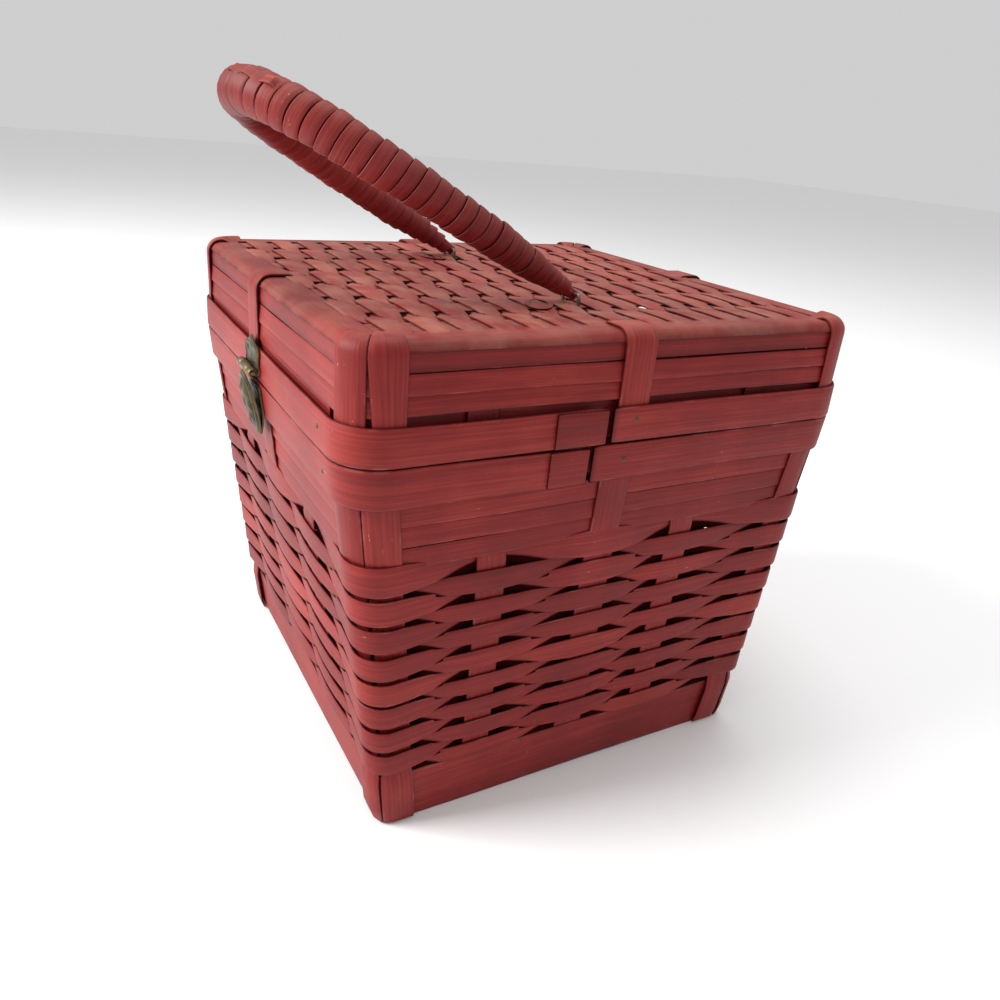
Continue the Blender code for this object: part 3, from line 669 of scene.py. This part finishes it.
def make_floor():
    """The tub's floor, woven both ways from wide splints."""
    splints = Splints()
    size = np.array(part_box("base_panel"))
    reach = size[1][:2] - 0.6 * MM
    level = (size[0][2] + size[1][2]) / 2
    for along in (0, 1):
        pitch = 2 * reach[1 - along] / FLOOR_COUNT
        for index in range(FLOOR_COUNT):
            middle = (index + 0.5) * pitch - reach[1 - along]
            inset = 3 * MM if index in (0, FLOOR_COUNT - 1) else 0
            run = np.linspace(-reach[along] + inset, reach[along] - inset, 4 * FLOOR_COUNT + 1)
            side = 1 if (index + along) % 2 else -1
            wave = np.cos(math.pi * (run + reach[along]) / (2 * reach[along]) * FLOOR_COUNT - math.pi / 2)
            height = level + side * FLOOR_WAVE * wave
            # the last value is a little painted shade over the whole floor
            add_flat(splints, along, run, middle, pitch * FLOOR_SHARE, height, WIDE_DEPTH, 0.1)
    splints.build("floor_weave", "tub", RED, ["base_panel"])


# ---- the lid ----

THIN_SPLINT = 0.6 * MM  # the lid's side and edge splints
FRONT_SPAN = (5.02, 5.98)  # where the extra front splint starts and ends round the outline


def make_lid_sides():
    for number, (low, high) in enumerate(zip(STRIP_EDGES, STRIP_EDGES[1:])):
        splints = Splints()
        ts = hoop_stations()
        middle = (low + high) / 2 + 0.35 * MM * np.sin(ts * 2.1 + number)
        width = high - low + 0.5 * MM
        # lapped=1 gives a painted shadow line under the splint above
        add_hoop(splints, middle, width, -0.45 * MM, THIN_SPLINT, tilt=0.45 * MM, ts=ts, lapped=1)
        replaced = [f"lid_side_strip_{number + 1}"]
        splints.build(f"lid_splint_{number + 1}", "lid", RED, replaced)
    splints = Splints()
    low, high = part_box("lid_front_strip")[0][2], STRIP_EDGES[0]
    ts = np.linspace(*FRONT_SPAN, 30)
    add_hoop(splints, (low + high) / 2, high - low - 0.3 * MM, -0.45 * MM, ts=ts)
    splints.build("lid_front_splint", "lid", RED, ["lid_front_strip"])


def make_lid_edge():
    """The two splints that turn over the lid's rounded edge, the upper one over the lower."""
    splints = Splints()
    ts = hoop_stations(z=LID_TOP, lap=0)
    low = STRIP_EDGES[2] + 0.1 * MM
    bend = LID_TOP - LID_EDGE_RADIUS
    split, top = bend + EDGE_SPLIT, bend + LID_EDGE_RADIUS * math.pi / 2 + EDGE_FOLD
    for first, last, inset, count, dust in ((low, split + MM, 0.5, 3, 0.0), (split, top, 0.2, 9, 0.6)):
        steps = np.linspace(first, last, count)
        section = np.concatenate([steps, steps[::-1]])
        depth = np.repeat([0.5, -0.5], count)
        across = 2 * (section - first) / (last - first) - 1
        z, out = lid_height(section, (-0.35 - inset) * MM + depth * THIN_SPLINT)
        run = distance_round(np.mod(ts, 8), np.array(LID_TOP)) + np.where(ts >= 8, LID_ROUND, 0)
        grid = wall(ts[:, None], 0, np.broadcast_to(z, (len(ts), len(z))), out)
        splints.add_plain(grid, run, across * (last - first) / 2, across, 0.0, dust)
    splints.build("lid_edge_splints", "lid", RED, ["lid_edge_strip"])


def lid_stake_places():
    """(t, ds, width, kind, fold, taper) of each stake of the lid."""
    places = []
    for t in range(8):
        if t == 6:
            places.append((6.5, -2.9 * MM, 11.6 * MM, "corner", 5 * MM, 0))
            places.append((6.5, 9.3 * MM, 12.4 * MM, "corner", 9 * MM, 2.7 * MM))
        elif t % 2 == 0:
            for sign in (-1, 1):
                places.append((t + 0.5, sign * CORNER_SPACING, CORNER_STAKE, "corner", 6 * MM, 0))
        else:
            shift = {7: -2.6, 5: -6.0, 3: 1.5, 1: -1.0}[t] * MM
            places.append((t + 0.5, shift, 13.6 * MM, "middle", 12 * MM, 0))
            places.append((t + 0.5, shift - 60 * MM, QUARTER_STAKE, "quarter", 0, 0))
            places.append((t + 0.5, shift + 62 * MM, QUARTER_STAKE, "quarter", 0, 0))
    return places


def make_lid_stakes():
    splints = Splints()
    low = JOINT_Z + 0.8 * MM
    for t, ds, width, kind, fold, taper in lid_stake_places():
        if kind == "quarter":
            z = np.linspace(low, LID_TOP - 3 * MM, 10)
            # painted shade on the quarter stakes, which lie behind the lid's side splints
            add_upright(splints, t, width, z, -1.7 * MM, 0.35, ds)
        else:
            add_lid_upright(splints, t, width, low, fold, 0.7 * MM, 0.6, ds, taper)
    splints.build("lid_stakes", "lid", RED, stake_names("lid_"))


TOP_STAKES = np.arange(-84, 85, 28) * MM
TOP_STAKE_HALF = 6 * MM
TOP_ROWS = 31
TOP_WAVE = 0.85 * MM


def make_lid_top():
    """Narrow weavers along X over and under the stakes that cross the top along Y."""
    level = LID_TOP - 1.0 * MM
    reach_x = RIM_HALF[0] - LID_EDGE_RADIUS - 2.5 * MM
    reach_y = RIM_HALF[1] - LID_EDGE_RADIUS - EDGE_FOLD + 1.5 * MM
    splints = Splints()
    for x in TOP_STAKES:
        run = np.linspace(-RIM_HALF[1] + 7 * MM, RIM_HALF[1] - 7 * MM, 40)
        middle = x + 0.5 * MM * waver(run, 40)
        # a little painted shade on the stakes, and dust
        add_flat(splints, 1, run, middle, TOP_STAKE_HALF, level - 0.1 * MM, WIDE_DEPTH, 0.05, 0.9)
    pitch = 2 * reach_y / TOP_ROWS
    marks, outs = [-reach_x], [0.0]
    for index, x in enumerate(TOP_STAKES):
        marks += [x - 4.0 * MM, x + 4.0 * MM]
        outs += [(-1) ** index] * 2
    marks, outs = np.array(marks + [reach_x]), np.array(outs + [0.0])
    for row in range(TOP_ROWS):
        y = -reach_y + (row + 0.5) * pitch + 0.22 * MM * random.standard_normal()
        run = np.linspace(-reach_x, reach_x, 64)
        sign = 1 if row % 2 else -1
        share = np.interp(run, marks, outs) * sign
        wave = np.sin(np.clip(share, -1, 1) * math.pi / 2)
        height = level + TOP_WAVE * wave
        drift = 0.4 * MM * waver(run, 25)
        width = pitch * (1.15 + (0.3 + 0.06 * random.standard_normal()) * np.clip(wave, 0, 1))
        # a painted shade wedge where a weaver dives under a stake, and dust
        add_flat(splints, 0, run, y + drift, width / 2, height, 0.75 * MM, 0.0, 1.0, (1 - wave) / 2)
    splints.build("lid_top_weavers", "lid", RED, ["lid_top_weave"])


# ---- the handle ----

HANDLE_HALF = 55 * MM
HANDLE_LENGTH = 125.5 * MM
HANDLE_POWER = 2.5
HANDLE_TILT = math.radians(29)
TIP_RADIUS, LEG_RADIUS, CROWN_RADIUS = 2.8 * MM, 7.0 * MM, 8.3 * MM
PIVOT = [joint for joint in frame["joints"] if joint["name"] == "handle_swing"][0]["pos_m"]
TURN_PITCH = 5.4 * MM
WRAP_START = 3.8 * MM
PER_TURN = 22  # points of the winding in each turn
WINDING = 0.9 * MM
LACE_SPAN, LACE_LEAN, LACE_HALF = (0.41, 0.52), math.radians(152), 1.9 * MM


def handle_line(angles):
    power = 2 / HANDLE_POWER
    x = HANDLE_HALF * np.sign(np.cos(angles)) * np.abs(np.cos(angles)) ** power
    return x, HANDLE_LENGTH * np.clip(np.sin(angles), 0, 1) ** power


def handle_radius(reach):
    share = np.minimum(reach / (0.35 * HANDLE_LENGTH), 1)
    leg = TIP_RADIUS + (LEG_RADIUS - TIP_RADIUS) * np.sin(share * math.pi / 2)
    return leg + (CROWN_RADIUS - LEG_RADIUS) * np.maximum(reach / HANDLE_LENGTH - 0.35, 0) / 0.65


def handle_frames(count):
    """Evenly spaced centres, with the directions along, sideways (in the handle's plane) and up from it."""
    angles = np.linspace(0, math.pi, 4001)
    x, reach = handle_line(angles)
    keep = reach >= WRAP_START
    x, reach = x[keep], reach[keep]
    run = np.concatenate([[0], np.cumsum(np.hypot(np.diff(x), np.diff(reach)))])
    even = np.linspace(0, run[-1], count)
    x, reach = np.interp(even, run, x), np.interp(even, run, reach)
    in_plane = np.array([0, -math.cos(HANDLE_TILT), math.sin(HANDLE_TILT)])
    up = np.array([0, math.sin(HANDLE_TILT), math.cos(HANDLE_TILT)])
    centres = np.stack([x, np.full(count, PIVOT[1]), np.full(count, PIVOT[2])], 1) + reach[:, None] * in_plane
    along = np.gradient(centres, axis=0)
    along /= np.linalg.norm(along, axis=1)[:, None]
    ups = np.broadcast_to(up, along.shape)
    side = np.cross(along, ups)
    return centres, along, side, ups, handle_radius(reach), even


def make_handle():
    """The grip: one splint wound round and round, each turn lapping the one before."""
    turns = int(handle_frames(400)[5][-1] / TURN_PITCH)
    centres, along, side, up, radius, run = handle_frames(turns * PER_TURN + 1)
    turn = np.arange(len(run)) / PER_TURN
    angle = 2 * math.pi * turn
    out = np.cos(angle)[:, None] * side + np.sin(angle)[:, None] * up
    splints = Splints()
    width = TURN_PITCH * 1.02
    uneven = 0.16 * MM * np.sin(turn * 2.1 + 1) + 0.12 * MM * np.sin(turn * 5.3)
    middle = radius - WINDING / 2 + uneven - 0.25 * MM
    tilt, crown = 0.32 * MM, 0.22 * MM
    grid = np.empty((len(run), len(ACROSS), 3))
    for k, (across, depth) in enumerate(SECTION):
        reach = middle + depth * WINDING + across * tilt + crown * (1 - across * across)
        grid[:, k] = centres + out * reach[:, None] + along * (across * width / 2)
    wound = 2 * math.pi * LEG_RADIUS * (turn + 1 / PER_TURN)
    splints.add(grid, wound, ACROSS * width / 2, 0.0, np.clip(out[:, 2], 0, 1) * 0.6)
    splints.build("handle_winding", "handle", GRIP, ["handle_wrap"])
    make_handle_lace(centres, along, side, up, radius)
    core = np.empty((len(run), 12, 3))
    for k in range(12):
        turned = math.cos(k * math.pi / 6) * side + math.sin(k * math.pi / 6) * up
        core[:, k] = centres + turned * (radius - 1.15 * MM)[:, None]
    splints = Splints()
    # the filling between the turns is darkened almost to black as painted shade
    splints.add_plain(core, run, np.arange(12) * MM, np.zeros(12), painted_shade=0.9)
    splints.build("handle_filling", "handle", GRIP)


def make_handle_lace(centres, along, side, up, radius):
    """A narrow splint that runs along the crown, over one turn and under the next."""
    splints = Splints()
    keep = np.arange(*[int(len(centres) * share) for share in LACE_SPAN])
    phase = keep / PER_TURN * math.pi
    out = math.cos(LACE_LEAN) * side[keep] + math.sin(LACE_LEAN) * up[keep]
    across = np.cross(out, along[keep])
    ends = np.clip(np.minimum(np.arange(len(keep)), np.arange(len(keep))[::-1]) / 8, 0, 1)
    lift = radius[keep] - 0.3 * MM + 0.6 * MM * np.sin(phase) - 1.2 * MM * (1 - ends)
    grid = np.empty((len(keep), len(ACROSS), 3))
    for k, (a, depth) in enumerate(SECTION):
        grid[:, k] = centres[keep] + out * (lift + depth * 0.6 * MM)[:, None] + across * (a * LACE_HALF)
    splints.add(grid, np.arange(len(keep)) * 0.25 * MM, ACROSS * LACE_HALF, 0.0, 0.4)
    splints.build("handle_lace", "handle", GRIP)


def make_foot_loops():
    """A flat loop of splint on the lid beside each foot of the handle."""
    splints = Splints()
    for x, y, turn in ((HANDLE_HALF + 4 * MM, -18 * MM, -0.5), (-HANDLE_HALF + 4 * MM, -14 * MM, 0.4)):
        angle = np.linspace(0, 2 * math.pi, 33)
        reach = np.stack([9 * MM * np.cos(angle), 4.5 * MM * np.sin(angle)], -1)
        spin = np.array([[math.cos(turn), math.sin(turn)], [-math.sin(turn), math.cos(turn)]])
        outward = np.stack([np.cos(angle), np.sin(angle)], -1) @ spin
        centre = np.array([x, y]) + reach @ spin
        grid = np.empty((len(angle), len(ACROSS), 3))
        grid[..., :2] = centre[:, None] + outward[:, None] * (ACROSS * MM)[None, :, None]
        grid[..., 2] = LID_TOP + 0.15 * MM + DEPTH * 0.5 * MM
        # a little painted shade on the loops, and dust
        splints.add(grid, angle * 7 * MM, ACROSS * MM, 0.25, 0.8)
    splints.build("handle_foot_loops", "lid", RED)


# ---- metal ----

HASP_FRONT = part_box("hasp_upper_plate")[1][1]  # the plane that the hasp's plates lie on
HASP_JOINT = [joint for joint in frame["joints"] if joint["name"] == "hasp_hinge"][0]["pos_m"]
SHEET = 0.6 * MM
KNUCKLE = 1.9 * MM


def finish_brass(name, mesh, body, angle, replaces=()):
    data = bpy.data.meshes.new(name)
    mesh.to_mesh(data)
    mesh.free()
    finish_piece(name, data, body, "aged_brass", BRASS, replaces, angle)


def stamped_plate(name, body, outline, relief, place, replaces):
    """A thin plate stamped from sheet. outline gives (x, z) of its edge, or of its middle for None.

    relief gives its height from (share of the way out, turn), and place turns (x, z, height out of the
    plate) into a world position.
    """
    around, rings = 96, 22
    mesh = bmesh.new()
    centre_x, centre_z = outline(None)
    edges = []
    for layer in (0, 1):
        rows = []
        for ring in range(1, rings + 1):
            share = ring / rings
            row = []
            for step in range(around):
                turn = 2 * math.pi * step / around
                x, z = outline(turn)
                px, pz = centre_x + (x - centre_x) * share, centre_z + (z - centre_z) * share
                height = relief(share, turn) + (SHEET if layer else 0)
                row.append(mesh.verts.new(place(px, pz, height)))
            rows.append(row)
        middle = mesh.verts.new(place(centre_x, centre_z, relief(0, 0) + (SHEET if layer else 0)))
        for k in range(around):
            after = (k + 1) % around
            mesh.faces.new((middle, rows[0][k], rows[0][after]))
            for inner, outer in zip(rows, rows[1:]):
                mesh.faces.new((inner[k], outer[k], outer[after], inner[after]))
        edges.append(rows[-1])
    for k in range(around):
        after = (k + 1) % around
        mesh.faces.new((edges[0][k], edges[0][after], edges[1][after], edges[1][k]))
    finish_brass(name, mesh, body, 60, replaces)


def rolled_knuckles(name, body, spans, turn):
    """Sheet rolled round the hasp's pin, over each span of x and from one angle of turn to the other."""
    mesh = bmesh.new()
    y, z = HASP_JOINT[1], HASP_JOINT[2]
    steps = 20
    angles = [math.radians(turn[0] + (turn[1] - turn[0]) * k / steps) for k in range(steps + 1)]
    for low, high in spans:
        xs = [low, low + 0.3 * MM, high - 0.3 * MM, high]
        rings = []
        for radius, trims in ((KNUCKLE, (0.25, 0, 0, 0.25)), (KNUCKLE - SHEET, (0, 0, 0, 0))):
            ring = []
            for x, trim in zip(xs, trims):
                reach = radius - trim * MM
                turned = [(x, y - reach * math.cos(a), z + reach * math.sin(a)) for a in angles]
                ring.append([mesh.verts.new(place) for place in turned])
            rings.append(ring)
        outer, inner = rings
        for ring in rings:
            for first, second in zip(ring, ring[1:]):
                for k in range(steps):
                    mesh.faces.new((first[k], first[k + 1], second[k + 1], second[k]))
        for k in range(steps):
            for end in (0, -1):
                mesh.faces.new((outer[end][k], outer[end][k + 1], inner[end][k + 1], inner[end][k]))
        for end in (0, -1):
            for i in range(len(xs) - 1):
                mesh.faces.new((outer[i][end], outer[i + 1][end], inner[i + 1][end], inner[i][end]))
    finish_brass(name, mesh, body, 50)


def ridge(share, place, spread):
    """A rounded ridge across a plate's relief, 1 high at its place on the way out."""
    return math.exp(-((share - place) / spread) ** 2)


UPPER_Z, CATCH_Z, FLAP_LOW = 168.6 * MM, 148.5 * MM, 137.2 * MM
SCALLOPS, PETALS = 6, 8


def make_hasp():
    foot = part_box("hasp_lower_plate")[0][2]
    slope = (half_size(JOINT_Z, 1) - half_size(foot, 1)) / (JOINT_Z - foot)

    def upper(turn):
        if turn is None:
            return 0.0, UPPER_Z
        reach = (8.3 + 0.9 * math.cos(SCALLOPS * (turn - math.pi / 2))) * MM
        return 1.22 * reach * math.cos(turn), UPPER_Z + reach * math.sin(turn)

    def upper_relief(share, turn):
        flutes = ridge(share, 0.62, 0.16) * max(math.cos(SCALLOPS * (turn - math.pi / 2)), 0)
        return (0.45 * ridge(share, 0.88, 0.07) + 0.5 * flutes + 0.5 * ridge(share, 0, 0.2)) * MM

    def flat(x, z, height):
        return (x, HASP_FRONT - height, z)

    def leaning(x, z, height):
        return (x, HASP_FRONT - height + (JOINT_Z - z) * slope, z)

    def lower(turn):
        if turn is None:
            return 0.0, CATCH_Z
        half, low, high = 9 * MM, -13.5 * MM, 10 * MM
        c, v = math.cos(turn), math.sin(turn)
        reach = min(half / max(abs(c), 1e-6), high / v if v > 1e-6 else 1)
        if v < 0:
            reach = min(reach, 1 / (abs(c) / (10.5 * MM) + v / low))
        scallop = 1 - 0.07 * abs(math.sin(3 * turn))
        return reach * c * scallop, CATCH_Z + reach * v * scallop

    def lower_relief(share, turn):
        return 0.35 * MM * ridge(share, 0.85, 0.08)

    start = HASP_JOINT[2] - 1.0 * MM
    top_out = HASP_FRONT - HASP_JOINT[1] + KNUCKLE - SHEET

    def flap(turn):
        middle = (start + FLAP_LOW) / 2
        if turn is None:
            return 0.0, middle
        square = max(math.sin(turn), 0) ** 3
        half = 8.4 * MM * (1 + 0.12 * square)
        tip = 1 + 0.1 * max(-math.sin(turn), 0) ** 6
        return half * math.cos(turn), middle + (start - FLAP_LOW) / 2 * math.sin(turn) * tip

    def flap_place(x, z, height):
        share = min(max((start - z) / (start - FLAP_LOW), 0), 1)
        out = top_out + (1.1 * MM - top_out) * share ** 0.8
        return (x, HASP_FRONT - height - out + (JOINT_Z - z) * slope, z)

    def flap_relief(share, turn):
        dome = 2.3 * (1 - share ** 2.4)
        bead, groove = 0.4 * ridge(share, 0.9, 0.05), 0.35 * ridge(share, 0.78, 0.04)
        petals = 0.55 * ridge(share, 0.55, 0.14) * (0.5 + 0.5 * math.cos(PETALS * turn))
        return (dome + bead + petals + 0.6 * ridge(share, 0, 0.18) - groove) * MM

    stamped_plate("hasp_stamped_plate", "lid", upper, upper_relief, flat, ["hasp_upper_plate"])
    stamped_plate("hasp_catch_plate", "tub", lower, lower_relief, leaning, ["hasp_lower_plate"])
    stamped_plate("hasp_domed_flap", "hasp", flap, flap_relief, flap_place, ["hasp_flap"])
    rolled_knuckles("hasp_plate_knuckles", "lid", [(-9.6 * MM, -5.2 * MM), (5.2 * MM, 9.6 * MM)], (200, -80))
    rolled_knuckles("hasp_flap_knuckle", "hasp", [(-4.9 * MM, 4.9 * MM)], (-30, 250))


DOME_SIDES = 14


def add_domes(name, body, places, radius, height):
    """Small domed nail heads at (t, ds, z, offset) on the wall."""
    mesh = bmesh.new()
    for t, ds, z, offset in places:
        centre = wall(t, ds, z, offset)
        out = wall(t, ds, z, offset + MM) - centre
        out = Vector(out / np.linalg.norm(out))
        side = out.cross(Vector((0, 0, 1))).normalized()
        up = side.cross(out)
        centre = Vector(centre)
        rows = []
        for share, rise in ((1, -0.4), (1, 0), (0.9, 0.45), (0.65, 0.8), (0.33, 0.96)):
            row = []
            for k in range(DOME_SIDES):
                angle = 2 * math.pi * k / DOME_SIDES
                spread = side * math.cos(angle) + up * math.sin(angle)
                row.append(mesh.verts.new(centre + spread * radius * share + out * height * rise))
            rows.append(row)
        top = mesh.verts.new(centre + out * height)
        for first, second in zip(rows, rows[1:]):
            for k in range(DOME_SIDES):
                after = (k + 1) % DOME_SIDES
                mesh.faces.new((first[k], first[after], second[after], second[k]))
        for k in range(DOME_SIDES):
            mesh.faces.new((rows[-1][k], rows[-1][(k + 1) % DOME_SIDES], top))
        mesh.faces.new(rows[0])
    finish_brass(name, mesh, body, 40)


def make_nails():
    """Nails in the bands, the hasp's plate and the hinge leaves. Their places here are in millimetres."""
    proud = (BAND_FACE + GAP + SHEET) / MM
    tub, lid = [(7.5, -4.6, 153.4, BAND_FACE / MM)], [(7.5, -1.8, 168.5, BAND_FACE / MM)]
    for t, ds in ((1.5, 20), (1.5, -88), (3.5, 6), (3.5, 80), (5.5, 84)):
        tub.append((t, ds, 153, BAND_FACE / MM))
        lid.append((t, ds - 3, 167.5, BAND_FACE / MM))
    plate = [(5.5, x, 170.5, proud) for x in (-8.6, 8.6)]
    leaf_xs = (-70, -62, -54, 54, 62, 70)
    for name, body, places, radius, height in (
        ("tub_nails", "tub", tub, 0.9, 0.4),
        ("lid_nails", "lid", lid, 0.9, 0.4),
        ("hasp_nails", "lid", plate, 0.9, 0.6),
        ("hinge_nails_tub", "tub", [(1.5, x, 150.5, proud) for x in leaf_xs], 1.2, 0.6),
        ("hinge_nails_lid", "lid", [(1.5, x, 169, proud) for x in leaf_xs], 1.2, 0.6),
    ):
        places = [(t, ds * MM, z * MM, offset * MM) for t, ds, z, offset in places]
        add_domes(name, body, places, radius * MM, height * MM)


# ---- the stage ----

def make_stage():
    floor = bpy.data.meshes.new("floor")
    size = 6
    corners = [(x * size, y * size, 0) for x, y in ((-1, -1), (1, -1), (1, 1), (-1, 1))]
    floor.from_pydata(corners, [], [(0, 1, 2, 3)])
    made, _, shader = new_material("pale_floor")
    shader.inputs["Base Color"].default_value = (0.93, 0.93, 0.93, 1)
    shader.inputs["Roughness"].default_value = 0.8
    floor.materials.append(made)
    ground = bpy.data.objects.new("floor", floor)
    bpy.context.scene.collection.objects.link(ground)
    world = bpy.data.worlds.new("studio")
    world.use_nodes = True
    colour, strength = world.node_tree.nodes["Background"].inputs[:2]
    colour.default_value = (1, 1, 1, 1)
    strength.default_value = 0.62
    bpy.context.scene.world = world
    bpy.context.scene.view_settings.view_transform = "Standard"


LIT_POINT = Vector((0, 0, 0.12))


def add_light(name, place, size, power):
    light = bpy.data.lights.new(name, "AREA")
    light.size = size
    light.energy = power
    made = bpy.data.objects.new(name, light)
    made.location = place
    made.rotation_euler = (LIT_POINT - Vector(place)).to_track_quat("-Z", "Y").to_euler()
    bpy.context.scene.collection.objects.link(made)


CAMERA_PLACE = (0.3278, -0.1888, 0.2603)
HEADING, DOWN, ROLL = math.radians(148.97), math.radians(24.17), math.radians(5.30)
LENS = 29.87


def make_camera():
    level = math.cos(DOWN)
    forward = Vector((level * math.cos(HEADING), level * math.sin(HEADING), -math.sin(DOWN)))
    right = forward.cross(Vector((0, 0, 1))).normalized()
    up = right.cross(forward)
    turned_right = math.cos(ROLL) * right + math.sin(ROLL) * up
    turned_up = -math.sin(ROLL) * right + math.cos(ROLL) * up
    camera = bpy.data.cameras.new("camera")
    camera.lens = LENS
    camera.clip_start = 0.01
    made = bpy.data.objects.new("camera", camera)
    basis = Matrix((turned_right, turned_up, -forward)).transposed().to_4x4()
    made.matrix_world = Matrix.Translation(Vector(CAMERA_PLACE)) @ basis
    bpy.context.scene.collection.objects.link(made)
    bpy.context.scene.camera = made


def main():
    make_camera()
    make_stage()
    add_light("key", (-0.45, -1.4, 1.0), 0.8, 36)
    add_light("top", (-0.2, 0.1, 1.6), 1.2, 14)
    make_weavers()
    make_tub_stakes()
    make_borders()
    high = JOINT_Z - GAP
    make_band("rim_band", "tub", BAND_LOW, high, ["rim_band_outer", "rim_band_lap"], (-0.037, -0.021))
    make_band("rim_band_inside", "tub", BAND_LOW, high, ["rim_band_inner"])
    make_foot()
    make_floor()
    make_lid_sides()
    make_lid_edge()
    make_lid_stakes()
    make_lid_top()
    low, high = LID_BAND_BOX[0][2], LID_BAND_HIGH
    make_band("lid_band", "lid", low, high, ["lid_band_outer", "lid_band_lap"], (-0.036, -0.015))
    make_band("lid_band_inside", "lid", low, high + 2 * MM, ["lid_band_inner"])
    make_handle()
    make_foot_loops()
    make_hasp()
    make_nails()
    own = {"handle_core": GRIP_PAINT, "handle_staple_left": WIRE, "handle_staple_right": WIRE}
    for name, piece in frame["nodes"].items():
        material = own.get(name)
        if name.startswith(("hinge", "hasp")):
            material = BRASS
        if material:
            piece.data.materials.clear()
            piece.data.materials.append(material)


main()
